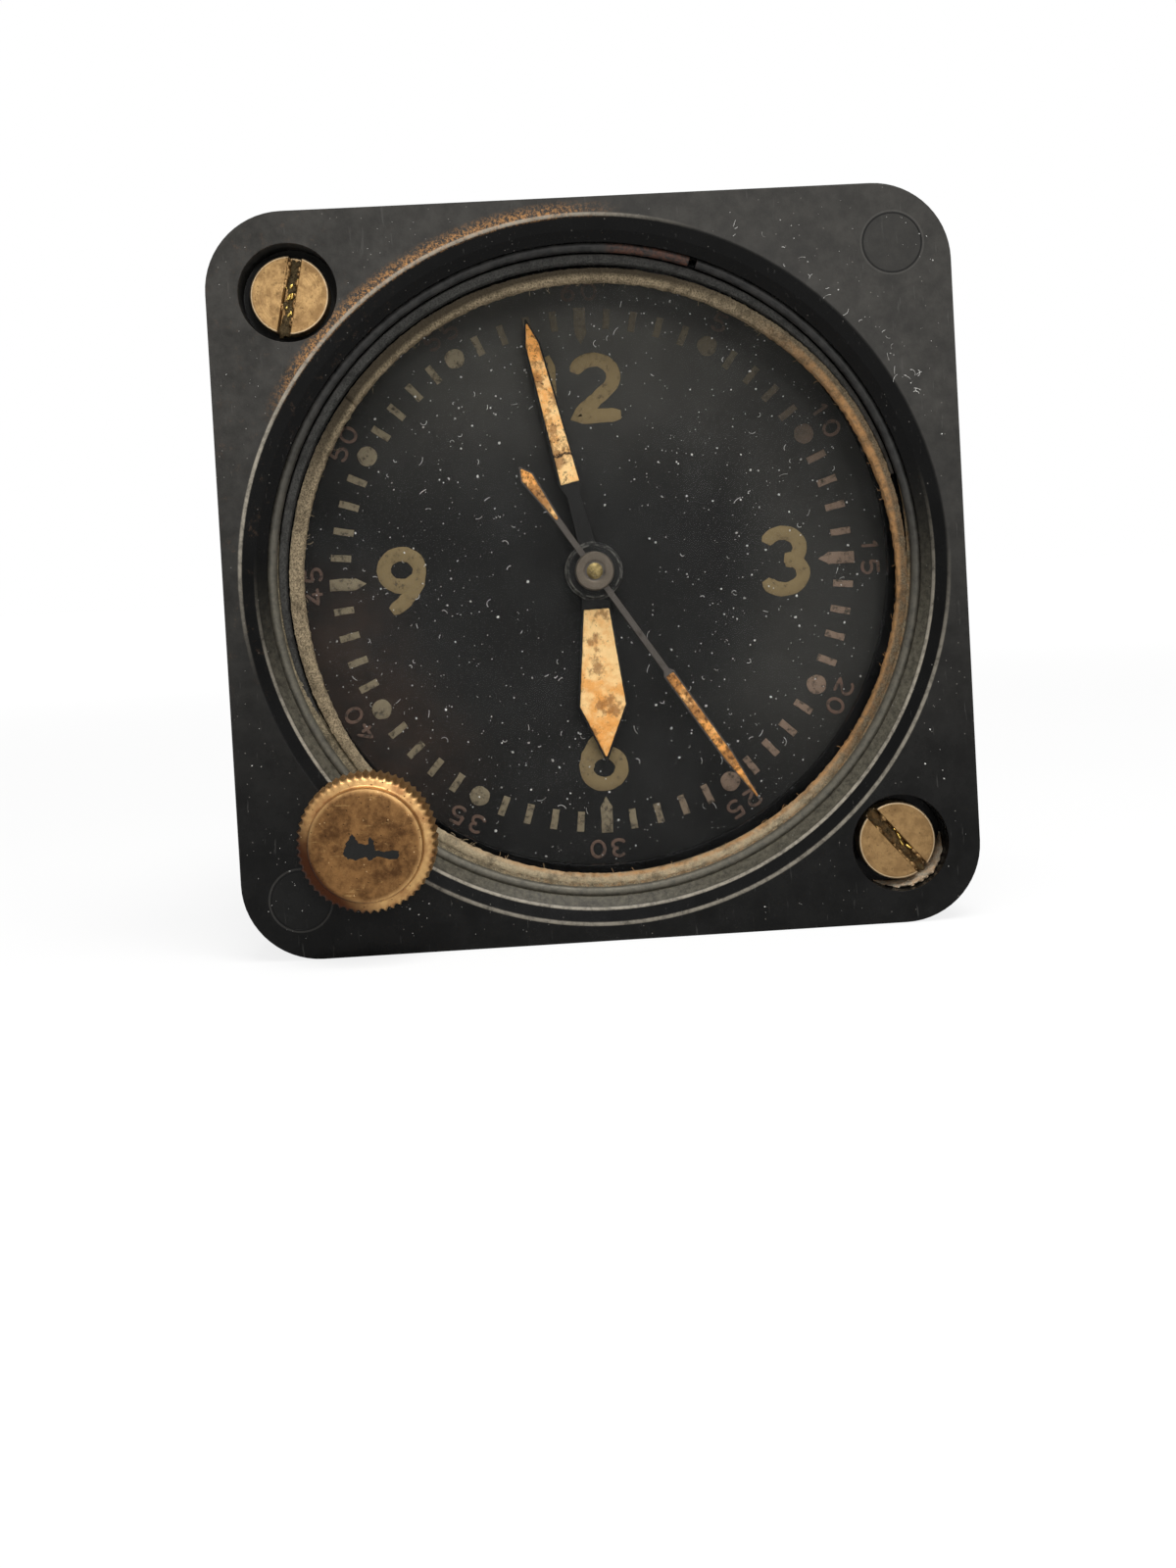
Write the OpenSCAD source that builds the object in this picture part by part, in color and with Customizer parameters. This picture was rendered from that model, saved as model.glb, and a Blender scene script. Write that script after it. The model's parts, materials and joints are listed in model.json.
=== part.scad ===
// Aircraft clock for a panel: square flange, glazed dial, three hands, winding knob,
// round case behind the panel and a spring-driven movement with a lever escapement.
// Upright: the dial faces -Y, twelve o'clock is +Z, +X is to the right of the dial.
// The origin is on the clock's axis, in the plane where the flange meets the panel.
// Each piece is drawn with z towards the viewer and y towards twelve, then stood upright.

/* [Flange] */
// Width and height of the square flange
flange_w = 60.325; // [58:0.005:66]
// Thickness of the flange in front of the panel
flange_t = 11.1; // [10.6:0.1:14]
// Corner radius of the flange
flange_corner_r = 6.35; // [3:0.05:9]
// Distance of a mounting screw's axis from the flange's edges
hole_inset = 6.5425; // [6:0.0025:7]

/* [Opening] */
// Least width of the flange beside the opening
flange_margin = 1.4125; // [1.2:0.0025:1.8]
// Width of the sloped rim of the opening
slope_w = 2; // [1.6:0.05:2.3]
// Depth of the sloped rim
rim_depth = 1.3; // [0.8:0.05:1.5]
// Width of the rim's flatter outer slope
outer_slope_w = 1.15; // [0.6:0.05:1.3]
// Depth of that outer slope
outer_slope_depth = 0.45; // [0.3:0.05:0.7]
// Width of the ledge that carries the glass
glass_rest = 2.15; // [1.9:0.05:2.3]
// How far that ledge reaches in over the space round the dial
ledge_w = 0.8; // [0.6:0.05:1.2]
// Thickness of that ledge
ledge_t = 1; // [0.6:0.1:1.4]

/* [Glass] */
// Depth of the glass below the front face
glass_depth = 2.5; // [2:0.1:3]
// Thickness of the glass
glass_t = 1.6; // [1.2:0.1:2]
// How far the fibre gasket reaches in past the ledge
gasket_lap = 0.4; // [0.2:0.05:0.8]
// Width of the fibre gasket
gasket_w = 1.25; // [0.9:0.05:1.25]
// Thickness of the fibre gasket
gasket_t = 0.6; // [0.4:0.05:0.9]
// How far the gasket has slipped to the right
gasket_slip_x = 0.3; // [0:0.05:0.3]
// How far the gasket has slipped down
gasket_slip_y = 0.4; // [0:0.05:0.4]
// Wire diameter of the snap ring
wire_d = 0.9; // [0.7:0.05:1]
// Opening between the ends of the snap ring, in degrees
wire_gap = 1.4; // [1:0.1:4]
// Clock angle of that opening
wire_gap_at = 20.5; // [0:0.5:359]

/* [Case] */
// Wall of the round case
case_wall = 2.4; // [2.2:0.05:2.8]
// Step in the case that the movement seats on
dial_step = 0.8; // [0.7:0.05:1]
// Room behind the movement
back_room = 4.5; // [4:0.1:8]
// Thickness of the rear cover
cover_t = 2; // [1.5:0.1:3]
// Thickness of the rear gasket
rear_gasket_t = 0.5; // [0.3:0.05:1]

/* [Mounting screws] */
// Radius of the counterbore for the screw head
counterbore_r = 3.97; // [3.5:0.01:4.2]
// Radius of the screw head
head_r = 3.2; // [2.6:0.05:3.4]
// Thickness of the screw head
head_t = 2; // [1.4:0.1:2.6]
// Depth of the head below the front face
head_depth = 1.4; // [0.8:0.1:2]
// Radius of the screw shank
shank_r = 1.85; // [1.5:0.05:2.2]
// How much smaller the thread behind the panel face is than the shank
thread_step = 0.25; // [0.2:0.05:0.5]
// Length of that thread
stud_reach = 9.5; // [6:0.5:16]
// Clock angles that the two screw slots point to
slot_turn = [12, 140]; // [0:1:180]

/* [Knob] */
// Radius of the knob's knurled rim
knob_r = 5.55; // [4.6:0.05:6.2]
// Radius of the raised disc on the knob
knob_disc_r = 4.52; // [3.6:0.01:4.6]
// Height of the knurled rim
knob_rim_h = 4.4; // [3:0.1:6]
// Height of the raised disc above the rim
knob_disc_h = 0.8; // [0.4:0.05:1.5]
// Gap between the flange and the knob
knob_gap = 0.8; // [0.5:0.05:1.5]
// Number of knurl ridges
knurls = 56; // [36:1:60]
// Distance of the knob's axis outside the case bore
stem_out = 2; // [1.9:0.05:2.4]
// Direction of the knob from the centre, counted from the right of the dial
stem_dir = 226.3; // [222:0.1:230]
// Radius of the winding stem
stem_r = 0.9; // [0.8:0.01:0.95]
// How far the knob pulls out
knob_pull = 1.2; // [0.6:0.1:1.3]

/* [Dial and hands] */
// Gap between the dial plate and the case
dial_gap = 0.2; // [0.15:0.05:0.5]
// Thickness of the dial plate
dial_t = 0.5; // [0.4:0.05:0.8]
// Room between the dial and the glass
hand_room = 3; // [2.8:0.05:3.6]
// Thickness of a hand
hand_t = 0.3; // [0.2:0.02:0.36]
// How far the hour hand ends inside the dial's edge
hour_short = 9; // [7.5:0.1:11]
// Greatest width of the hour hand
hour_w = 4.2; // [3:0.1:4.6]
// How far the minute hand ends inside the dial's edge
minute_short = 3.4; // [2.5:0.1:6]
// Width of the minute hand where its filling starts
minute_w = 1.9; // [1.5:0.05:2.2]
// How far the seconds hand ends inside the dial's edge
second_short = 1.3; // [1.1:0.1:5]
// Length of the seconds hand's tail as a share of its length
tail_share = 0.4477; // [0.3:0.0001:0.5]
// Clock angles of the hour, minute and seconds hands
hand_angles = [179.2, 347.8, 147.2]; // [0:0.1:360]

/* [Movement] */
// Gap between the movement plates and the case
plate_side_gap = 0.25; // [0.2:0.05:0.5]
// Thickness of the movement plates
plate_t = 1.6; // [1.2:0.1:2]
// Distance between the movement plates
plate_gap = 11.5; // [11:0.1:14]
// Room under the dial for the motion work
motion_room = 2.3; // [2.3:0.05:3]
// Distance of the pillars from the edge of the plates
pillar_in = 2.35; // [2.1:0.05:2.5]
// Radius of a pillar
pillar_r = 1.5; // [1.2:0.05:1.6]
// Thickness of a train wheel
wheel_t = 0.6; // [0.4:0.05:0.7]
// Clear space between neighbouring wheels
level_gap = 0.7; // [0.6:0.05:0.75]
// Radius of the train arbors
arbor_r = 0.45; // [0.42:0.01:0.5]
// Radius of the pivots that turn in the plates
pivot_r = 0.3; // [0.25:0.01:0.36]

/* [Winding and train] */
// Plate radius that the sizes in this section and the next are written for; they grow with the plates
train_plate_r = 25.95; // [24:0.05:28]
// Distance of the barrel's axis from the centre
barrel_orbit = 13.5; // [13.4:0.05:13.7]
// Radius of the barrel drum
drum_r = 10.2; // [9.6:0.05:10.4]
// Wall of the barrel drum
drum_wall = 0.7; // [0.5:0.05:1]
// Radius of the barrel arbor
barrel_arbor_r = 1.2; // [1.1:0.05:1.3]
// Module of the winding gears
winding_m = 0.45; // [0.44:0.01:0.46]
// Module of the barrel teeth
barrel_m = 0.32; // [0.315:0.001:0.325]
// Module of the intermediate wheel
inter_m = 0.31; // [0.308:0.001:0.314]
// Module of the centre wheel
centre_m = 0.34; // [0.338:0.001:0.342]
// Module of the fourth wheel
fourth_m = 0.32; // [0.318:0.001:0.322]
// Module of the cannon pinion and minute wheel
motion_m = 0.25; // [0.245:0.001:0.255]
// Direction of the third wheel from the centre
third_dir = 70; // [69:0.1:71]
// Direction of the escape wheel from the centre
escape_dir = 10; // [8:0.1:11]
// Direction of the minute wheel from the centre
minute_wheel_dir = 60; // [20:1:120]

/* [Escapement] */
// Radius of the escape wheel
escape_r = 3.6; // [3.2:0.05:3.8]
// Distance from the escape wheel to the pallet arbor
pallet_reach = 4.9; // [4.8:0.05:5.2]
// Distance of the balance staff from the centre
balance_orbit = 17.5; // [17.3:0.05:18]
// Direction of the balance staff from the centre
balance_dir = -33; // [-35:0.1:-31]
// Radius of the balance wheel
balance_r = 5.4; // [4.8:0.05:5.5]

/* [Fits] */
// Radial gap between pieces that turn on each other
running = 0.05; // [0.03:0.01:0.08]
// Radial gap between pieces that are fixed together
seated = 0.02; // [0.01:0.01:0.04]

/* [Hidden] */
$fn = 64;

// Cutters run past the faces that they cut by this much
past = 1;
// Joined shapes of one piece run into each other by this much
lap = 0.1;
// Side gap of pieces that lie loose in a recess
loose = 0.2;

// Radii, from the flange in to the dial and out again to the case
opening_r = flange_w / 2 - flange_margin;
glass_wall_r = opening_r - slope_w;
ledge_r = glass_wall_r - glass_rest;
gasket_r = ledge_r - gasket_lap;
dial_space_r = ledge_r + ledge_w;
dial_r = dial_space_r - dial_gap;
case_bore_r = dial_space_r + dial_step;
case_r = case_bore_r + case_wall;
plate_r = case_bore_r - plate_side_gap;
pillar_orbit = plate_r - pillar_in;
stem_orbit = case_bore_r + stem_out;
hole_spacing = flange_w - 2 * hole_inset;
hour_l = dial_r - hour_short;
minute_l = dial_r - minute_short;
second_l = dial_r - second_short;
second_tail = second_l * tail_share;

// Winding, train and escapement at the size of these plates
grow = plate_r / train_plate_r;
m_winding = winding_m * grow;
m_barrel = barrel_m * grow;
m_inter = inter_m * grow;
m_centre = centre_m * grow;
m_fourth = fourth_m * grow;
barrel_reach = barrel_orbit * grow;
drum_outer_r = drum_r * grow;
escape_tip_r = escape_r * grow;
pallet_off = pallet_reach * grow;
balance_reach = balance_orbit * grow;
balance_rim_r = balance_r * grow;

// Heights along the axis, from the front face back
z_face = flange_t;
z_glass = z_face - glass_depth;
z_glass_back = z_glass - glass_t;
z_ledge_back = z_glass_back - ledge_t;
z_dial = z_glass_back - hand_room;
z_dial_back = z_dial - dial_t;
z_plate = z_dial_back - motion_room;
z_inner = z_plate - plate_t;
z_rear = z_inner - plate_gap;
z_rear_back = z_rear - plate_t;
z_case_end = z_rear_back - back_room;
z_cover = z_case_end - rear_gasket_t;
z_back = z_cover - cover_t;

// The wire stands on the glass and springs into the wall by a shallow groove
wire_sink = 0.18;
z_wire = z_glass + wire_d / 2 + seated;
wire_orbit = glass_wall_r + wire_sink - wire_d / 2;

// Front faces of the train wheels: 0 centre, 1 intermediate, 2 third, 3 fourth, 4 barrel
centre_boss = 1.2;
centre_boss_r = 2.4;
boss_clear = 0.3;
function level(k) = z_inner - centre_boss - boss_clear - k * (wheel_t + level_gap);
barrel_end_gap = 0.6;
z_drum_back = z_rear + barrel_end_gap;
drum_teeth_t = 0.8;
drum_floor = 0.6;
end_gap = 0.2;
cover_sink = 0.05;
lid_t = 0.5;
core_wall = 1.2;
collar_w = 0.6;
z_spring_low = z_drum_back + drum_floor + end_gap;
z_spring_high = level(4) - cover_sink - lid_t - end_gap;
rear_pivot_r = barrel_arbor_r - 0.35;
// How far a pinion runs past the wheel that it meets
pinion_past = 0.3;
// Escape wheel and pallets lie in one plane, the balance in front of it
z_escape = z_rear + 2.2;
balance_t = 0.8;
balance_above = 1.1;
z_balance = z_escape + wheel_t + balance_above;
boss_room = 0.5;
z_boss = z_balance + balance_t + boss_room;
balance_boss_r = 1.7;
pallet_boss_r = 1.2;

// Tooth counts
pinion_n = 8;
idler_n = 24;
ratchet_n = 32;
barrel_n = 70;
inter_pinion_n = 10;
inter_n = 70;
centre_pinion_n = 10;
centre_n = 64;
third_pinion_n = 8;
third_n = 60;
fourth_pinion_n = 8;
fourth_n = 70;
escape_pinion_n = 7;
escape_n = 15;
cannon_n = 12;
minute_n = 36;
minute_pinion_n = 10;
hour_n = 40;

// Tooth shape: heights in modules, widths in shares of the pitch
wheel_tip = 0.8;
wheel_root = 1.2;
wheel_width = [0.58, 0.24];
leaf_tip = 0.6;
leaf_root = 1.25;
leaf_width = [0.4, 0.26];
most_leaves = 12;
// Width of a wheel's rim inside the teeth
rim_w = 0.9;
// Narrowest place between two windows of a wheel
spoke_w = 0.8;

// Axis distances of meshing pairs
stem_to_idler = (pinion_n + idler_n) * m_winding / 2;
idler_to_barrel = (idler_n + ratchet_n) * m_winding / 2;
barrel_to_inter = (barrel_n + inter_pinion_n) * m_barrel / 2;
centre_to_inter = (inter_n + centre_pinion_n) * m_inter / 2;
centre_to_third = (centre_n + third_pinion_n) * m_centre / 2;
third_m = 2 * centre_to_third / (third_n + fourth_pinion_n);
centre_to_escape = (fourth_n + escape_pinion_n) * m_fourth / 2;
centre_to_minute = (cannon_n + minute_n) * motion_m / 2;
hour_m = 2 * centre_to_minute / (minute_pinion_n + hour_n);

// Places of the axes in the dial's plane
function polar(r, a) = [r * cos(a), r * sin(a)];
function bearing(p, q) = atan2(q[1] - p[1], q[0] - p[0]);
// Angle at a triangle's corner between sides a and b, with c opposite
function corner_angle(a, b, c) = acos((a * a + b * b - c * c) / (2 * a * b));
stem_at = polar(stem_orbit, stem_dir);
idler_orbit = stem_orbit - stem_to_idler;
idler_at = polar(idler_orbit, stem_dir);
barrel_dir = stem_dir - corner_angle(idler_orbit, barrel_reach, idler_to_barrel);
barrel_at = polar(barrel_reach, barrel_dir);
inter_dir = barrel_dir - corner_angle(barrel_reach, centre_to_inter, barrel_to_inter);
inter_at = polar(centre_to_inter, inter_dir);
third_at = polar(centre_to_third, third_dir);
escape_at = polar(centre_to_escape, escape_dir);
minute_at = polar(centre_to_minute, minute_wheel_dir);
balance_at = polar(balance_reach, balance_dir);
lever_dir = bearing(escape_at, balance_at);
pallet_at = escape_at + polar(pallet_off, lever_dir);
lever_l = norm(balance_at - pallet_at);

// Tooth phase of gear b that meets gear a, seen in direction dir from a to b
function mesh_phase(phase_a, n_a, n_b, dir) =
    dir + 180 - 360 / n_b * ((phase_a - dir) * n_a / 360 + 0.5);
idler_phase = mesh_phase(0, pinion_n, idler_n, stem_dir + 180);
ratchet_phase = mesh_phase(idler_phase, idler_n, ratchet_n, bearing(idler_at, barrel_at));
inter_pinion_phase = mesh_phase(0, barrel_n, inter_pinion_n, bearing(barrel_at, inter_at));
centre_pinion_phase = mesh_phase(0, inter_n, centre_pinion_n, inter_dir + 180);
third_pinion_phase = mesh_phase(0, centre_n, third_pinion_n, third_dir);
fourth_pinion_phase = mesh_phase(0, third_n, fourth_pinion_n, third_dir + 180);
escape_pinion_phase = mesh_phase(0, fourth_n, escape_pinion_n, escape_dir);
minute_phase = mesh_phase(0, cannon_n, minute_n, minute_wheel_dir);
hour_phase = mesh_phase(0, minute_pinion_n, hour_n, minute_wheel_dir + 180);

// Nested tubes on the centre axis, from the inside out
second_r = 0.4;
centre_bore_r = second_r + running;
centre_r = 0.85;
cannon_bore_r = centre_r + seated;
cannon_r = 1.25;
hour_bore_r = cannon_r + running;
hour_pipe_r = 1.75;
dial_hole_gap = 0.35;
dial_hole_r = hour_pipe_r + dial_hole_gap;

// Hands: clear space below each one
hub_boss_t = 0.3;
hand_gap = (hand_room - 3 * hand_t) / 4.2;
z_hour_hand = z_dial + hand_gap;
z_minute_hand = z_hour_hand + hand_t + hand_gap;
z_second_hand = z_minute_hand + hand_t + hand_gap;
pipe_past = 0.06;
hub_r = 2.25;
hour_hub_r = 2.45;
tip_w = 0.12;
second_hub_r = 1.65;
hand_border = 0.14;
lume_proud = 0.06;

// Layers under the dial, counted from the front plate
motion_gap = 0.25;
motion_low = z_plate + motion_gap;
motion_t = 0.75;
motion_high = motion_low + motion_t + motion_gap;
winding_t = 1;
z_winding = z_plate + 0.8;
post_head_t = 0.35;
post_head_r = 1.5;
post_r = 0.8;
shoulder_w = 0.5;
post_thread_r = 0.55;
minute_post_r = 0.56;
minute_post_head = [0.85, 0.12];

// Winding stem, pinion and pocket
square_w = 1.2;
pinion_t = winding_t + 0.2;
z_pinion = z_winding - lap;
z_square_end = z_pinion - knob_pull - lap;
z_shoulder = z_pinion + pinion_t + running;
clip_t = 0.4;
clip_r = 1.6;
clip_gap = 0.3;
clip_groove = 0.25;
clip_mouth = 0.9;
z_clip = z_shoulder + clip_gap;
pocket_gap = 0.15;
clip_slot_w = 2 * clip_r + 2 * pocket_gap;
pocket_r = pinion_n * m_winding / 2 + leaf_tip * m_winding + 0.3;
z_pocket_top = z_clip + clip_t + knob_pull + lap;
z_knob = z_face + knob_gap;

// Screws, posts and feet
screw_at = hole_spacing / 2;
stud_r = shank_r - thread_step;
pillar_dirs = [30, 101, 161, 235, 300];
post_in = 3.45;
foot_in = 2.95;
post_orbit = plate_r - post_in;
post_dirs = [65, 185, 268];
foot_orbit = plate_r - foot_in;
foot_dirs = [10, 120, 280];
foot_r = 0.7;
foot_sink = 0.9;
movement_post_r = 1.8;
tenon_r = 0.9;
small_thread_r = 0.6;
small_head_r = 1.4;
small_head_t = 0.8;
slot_w = 0.3;
cover_screw_dirs = [45, 135, 225, 315];
cover_screw_r = 0.7;
cover_head_r = 1.15;
cover_head_t = 0.8;
cover_thread_l = 5;
cover_screw_orbit = (case_r + case_bore_r) / 2;
// Ring on the rear cover that enters the case
spigot_h = 1.2;
spigot_wall = 1.6;
// Slot of a mounting screw
head_slot_w = 1;
head_slot_depth = 0.9;
// Thread length in a pillar or post, and the room left at the hole's end
thread_l = 3;
thread_room = 0.5;

// Click: its pivot, tip and lift
click_clear = 0.15;
click_eye_r = 1.3;
click_off = 2.2;
spring_l = 4.6;
ratchet_tip_r = ratchet_n * m_winding / 2 + wheel_tip * m_winding;
click_at = barrel_at + polar(ratchet_tip_r + click_off, 80);
click_tip = barrel_at + polar(ratchet_tip_r + click_clear, 120);
click_l = norm(click_tip - click_at);
click_dir = bearing(click_at, click_tip);
spring_foot = click_at + polar(spring_l, click_dir - 62);

// Balance staff, its roller and the collet of its spring
boss_hole_l = 0.9;
impulse_pin_r = 0.2;
roller_r = 1.2;
roller_rim = 0.15;
roller_t = 0.4;
z_roller = z_escape + wheel_t + 0.25;
collet_r = 0.8;
collet_past = 0.2;
hairspring_t = 0.4;
z_hairspring = z_rear + 0.8;

// Balance cock
cock_foot = balance_at + polar(balance_rim_r + 4, 200);
cock_t = 1.6;
cock_w = 3.6;
balance_hole_r = balance_rim_r + 0.5;
cock_head_r = 1.1;
cock_screw_off = 1.6;
cock_screw_dir = 110;
function cock_screw_at(s) = cock_foot + polar(s * cock_screw_off, cock_screw_dir);

// Stands a piece upright: z towards the viewer becomes -Y, y becomes +Z
module upright() { rotate([90, 0, 0]) children(); }
// Moves a piece to a place in the dial's plane, at a height on the axis
module at(p, z = 0) { translate([p[0], p[1], z]) children(); }
module disc(r, z0, z1) { translate([0, 0, z0]) cylinder(r = r, h = z1 - z0); }
module slab(z0, z1) { translate([0, 0, z0]) linear_extrude(height = z1 - z0) children(); }
module beam(p, q, w) {
    translate(p) rotate(bearing(p, q)) translate([0, -w / 2]) square([norm(q - p), w]);
}

function tooth_points(n, r_root, r_tip, width, phase) = [
    for (k = [0:n - 1], c = [[r_root, -width[0]], [r_tip, -width[1]], [r_tip, width[1]], [r_root, width[0]]])
        polar(c[0], phase + (k + c[1] / 2) * 360 / n)
];
// Outline of a wheel, or of a pinion where it has few leaves
module teeth(n, m, phase) {
    few = n <= most_leaves;
    tip = few ? leaf_tip : wheel_tip;
    root = few ? leaf_root : wheel_root;
    width = few ? leaf_width : wheel_width;
    polygon(tooth_points(n, n * m / 2 - root * m, n * m / 2 + tip * m, width, phase));
}
// A toothed wheel with a bore, crossed out by round windows
module crossed_wheel(n, m, t, phase, bore, windows = 5, hub = 2.4) {
    rim = n * m / 2 - wheel_root * m - rim_w;
    window_at = (rim + hub) / 2;
    window_r = min((rim - hub) / 2, window_at * sin(180 / windows) - spoke_w / 2);
    linear_extrude(height = t) difference() {
        teeth(n, m, phase);
        circle(r = bore);
        for (k = [0:windows - 1]) rotate(k * 360 / windows) translate([window_at, 0]) circle(r = window_r);
    }
}
// An arbor with a pivot at each end that turns in the plates
module pivoted(z0, z1, r, front_pivot, rear_pivot) {
    disc(r, z0, z1);
    disc(pivot_r, z1 - lap, z1 + front_pivot);
    disc(pivot_r, z0 - rear_pivot, z0 + lap);
}
// A slotted screw along z, head towards +z, its seat at height 0
module small_screw(thread_r, thread_l, r, t) {
    difference() {
        union() {
            disc(r, 0, t);
            disc(thread_r, -thread_l, lap);
        }
        translate([-r - past, -slot_w / 2, t * 0.55]) cube([2 * (r + past), slot_w, t]);
    }
}
function spiral(r0, r1, turns, shift, steps) = [
    for (k = [0:steps]) polar(r0 + (r1 - r0) * k / steps + shift, 360 * turns * k / steps)
];
// A flat strip wound from r0 out to r1
module wound_strip(r0, r1, turns, t, per_turn = 20) {
    steps = ceil(turns * per_turn);
    inner = spiral(r0, r1, turns, -t / 2, steps);
    outer = spiral(r0, r1, turns, t / 2, steps);
    polygon(concat(inner, [for (k = [steps:-1:0]) outer[k]]));
}

// Case

module rounded_square(w, r) {
    square([w, w - 2 * r], center = true);
    square([w - 2 * r, w], center = true);
    for (x = [-1, 1], y = [-1, 1]) translate([x, y] * (w / 2 - r)) circle(r = r);
}
module case_body() {
    color([0.1, 0.1, 0.1]) upright() difference() {
        union() {
            slab(0, z_face) rounded_square(flange_w, flange_corner_r);
            disc(case_r, z_case_end, past);
        }
        // the inside, turned from the rear end to the front face
        rotate_extrude() polygon([[0, z_case_end - past], [case_bore_r, z_case_end - past],
            [case_bore_r, z_plate], [dial_space_r, z_plate], [dial_space_r, z_ledge_back],
            [ledge_r, z_ledge_back], [ledge_r, z_glass_back], [glass_wall_r, z_glass_back],
            [glass_wall_r, z_face - rim_depth], [opening_r - outer_slope_w, z_face - outer_slope_depth],
            [opening_r, z_face], [opening_r, z_face + past], [0, z_face + past]]);
        // groove that the snap ring springs into
        translate([0, 0, z_wire]) rotate_extrude() translate([wire_orbit, 0]) circle(r = wire_d / 2 + seated);
        for (p = [[-screw_at, screw_at], [screw_at, -screw_at]]) at(p) {
            disc(counterbore_r, z_face - head_depth - head_t, z_face + past);
            disc(shank_r + running, -past, z_face);
        }
        // pocket of the winding pinion, open to the dial space, and the stem's bore
        at(stem_at) {
            disc(pocket_r, z_pinion - pocket_gap, z_shoulder + clip_gap / 2);
            disc(clip_r + 2 * pocket_gap, z_pinion, z_pocket_top);
            disc(stem_r + running, z_square_end - clip_gap, z_face + past);
        }
        rotate(stem_dir) translate([dial_space_r - past, -clip_slot_w / 2, z_shoulder])
            cube([stem_orbit - dial_space_r + past, clip_slot_w, z_pocket_top - lap - z_shoulder]);
        at(idler_at) disc((idler_n / 2 + 1) * m_winding + pocket_gap, z_pinion - pocket_gap, z_dial_back);
        for (a = cover_screw_dirs) at(polar(cover_screw_orbit, a))
            disc(cover_screw_r + seated, z_case_end - past, z_case_end + cover_thread_l + past);
    }
}

module rear_cover() {
    color([0.12, 0.12, 0.12]) upright() difference() {
        union() {
            disc(case_r, z_back, z_cover);
            // spigot that enters the case
            disc(case_bore_r - loose, z_cover - lap, z_cover + spigot_h);
        }
        disc(case_bore_r - loose - spigot_wall, z_cover, z_cover + spigot_h + past);
        for (a = cover_screw_dirs) at(polar(cover_screw_orbit, a))
            disc(cover_screw_r + running, z_back - past, z_cover + past);
        for (a = post_dirs) at(polar(post_orbit, a))
            disc(small_thread_r + running, z_back - past, z_cover + past);
    }
}
module rear_cover_screws() {
    color([0.35, 0.34, 0.32]) upright() for (a = cover_screw_dirs) at(polar(cover_screw_orbit, a), z_back)
        rotate([180, 0, a])
            small_screw(cover_screw_r, cover_t + rear_gasket_t + cover_thread_l, cover_head_r, cover_head_t);
}
module rear_gasket() {
    color([0.3, 0.26, 0.2]) upright() difference() {
        disc(case_r - loose, z_cover, z_case_end);
        disc(case_bore_r, z_cover - past, z_case_end + past);
        for (a = cover_screw_dirs) at(polar(cover_screw_orbit, a))
            disc(cover_screw_r + running, z_cover - past, z_case_end + past);
    }
}
module mounting_screws() {
    places = [[-screw_at, screw_at], [screw_at, -screw_at]];
    top = z_face - head_depth;
    color([0.5, 0.42, 0.22]) upright() for (k = [0, 1]) at(places[k]) difference() {
        union() {
            disc(head_r, top - head_t, top);
            disc(shank_r, 0, top - head_t + lap);
            disc(stud_r, -stud_reach, lap);
        }
        rotate(-slot_turn[k]) translate([-head_slot_w / 2, -head_r - past, top - head_slot_depth])
            cube([head_slot_w, 2 * (head_r + past), head_slot_depth + past]);
    }
}

// Front

module glass() {
    bevel = 0.25;
    glass_r = glass_wall_r - loose;
    color([0.8, 0.88, 0.9, 0.3]) upright() {
        disc(glass_r, z_glass_back, z_glass - bevel);
        translate([0, 0, z_glass - bevel]) cylinder(r1 = glass_r, r2 = glass_r - bevel, h = bevel);
    }
}
module glass_gasket() {
    color([0.45, 0.4, 0.3]) upright() at([gasket_slip_x, -gasket_slip_y]) difference() {
        disc(gasket_r + gasket_w, z_glass, z_glass + gasket_t);
        disc(gasket_r, z_glass - past, z_glass + gasket_t + past);
    }
}
module snap_ring() {
    color([0.2, 0.19, 0.18]) upright() translate([0, 0, z_wire])
        rotate(90 - wire_gap_at + wire_gap / 2) rotate_extrude(angle = 360 - wire_gap)
            translate([wire_orbit, 0]) circle(r = wire_d / 2);
}
module dial_plate() {
    color([0.07, 0.07, 0.07]) upright() difference() {
        disc(dial_r, z_dial_back, z_dial);
        disc(dial_hole_r, z_dial_back - past, z_dial + past);
    }
}
module dial_feet() {
    color([0.7, 0.4, 0.25]) upright() for (a = foot_dirs) at(polar(foot_orbit, a))
        disc(foot_r, z_plate - foot_sink, z_dial_back);
}

// Hands, drawn towards twelve and turned to their places

module to_hour(a) { rotate([0, 0, -a]) children(); }
// Outline from pairs of distance and half width, mirrored about the hand's line
module hand_outline(pairs) {
    last = len(pairs) - 1;
    polygon(concat([for (p = pairs) [p[1], p[0]]], [for (k = [last:-1:0]) [-pairs[k][1], pairs[k][0]]]));
}
// Filling and window of each hand: inset 0 is the window, a small inset is the filling
hour_belly = 0.704 * hour_l;
hour_start = 3.05;
hour_neck = 2.45;
module hour_fill(inset) {
    hand_outline([
        [hour_start + hand_border + inset, hour_neck / 2 - hand_border - inset],
        [hour_belly, hour_w / 2 - hand_border - inset],
        [hour_l - 3.2 * hand_border - 2 * inset, tip_w / 2]
    ]);
}
minute_start = 0.344 * minute_l;
minute_point = 2.2;
minute_tip_w = 1.4;
module minute_fill(inset) {
    hand_outline([
        [minute_start + hand_border + inset, minute_w / 2 - hand_border - inset],
        [minute_l - minute_point, minute_tip_w / 2 - hand_border - inset],
        [minute_l - 2.5 * hand_border - 2 * inset, tip_w / 2]
    ]);
}
second_start = 0.431 * second_l;
second_shoulder = 0.3;
second_w = 1;
second_border = 0.1;
leaf_start = 0.486 * second_tail;
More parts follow.
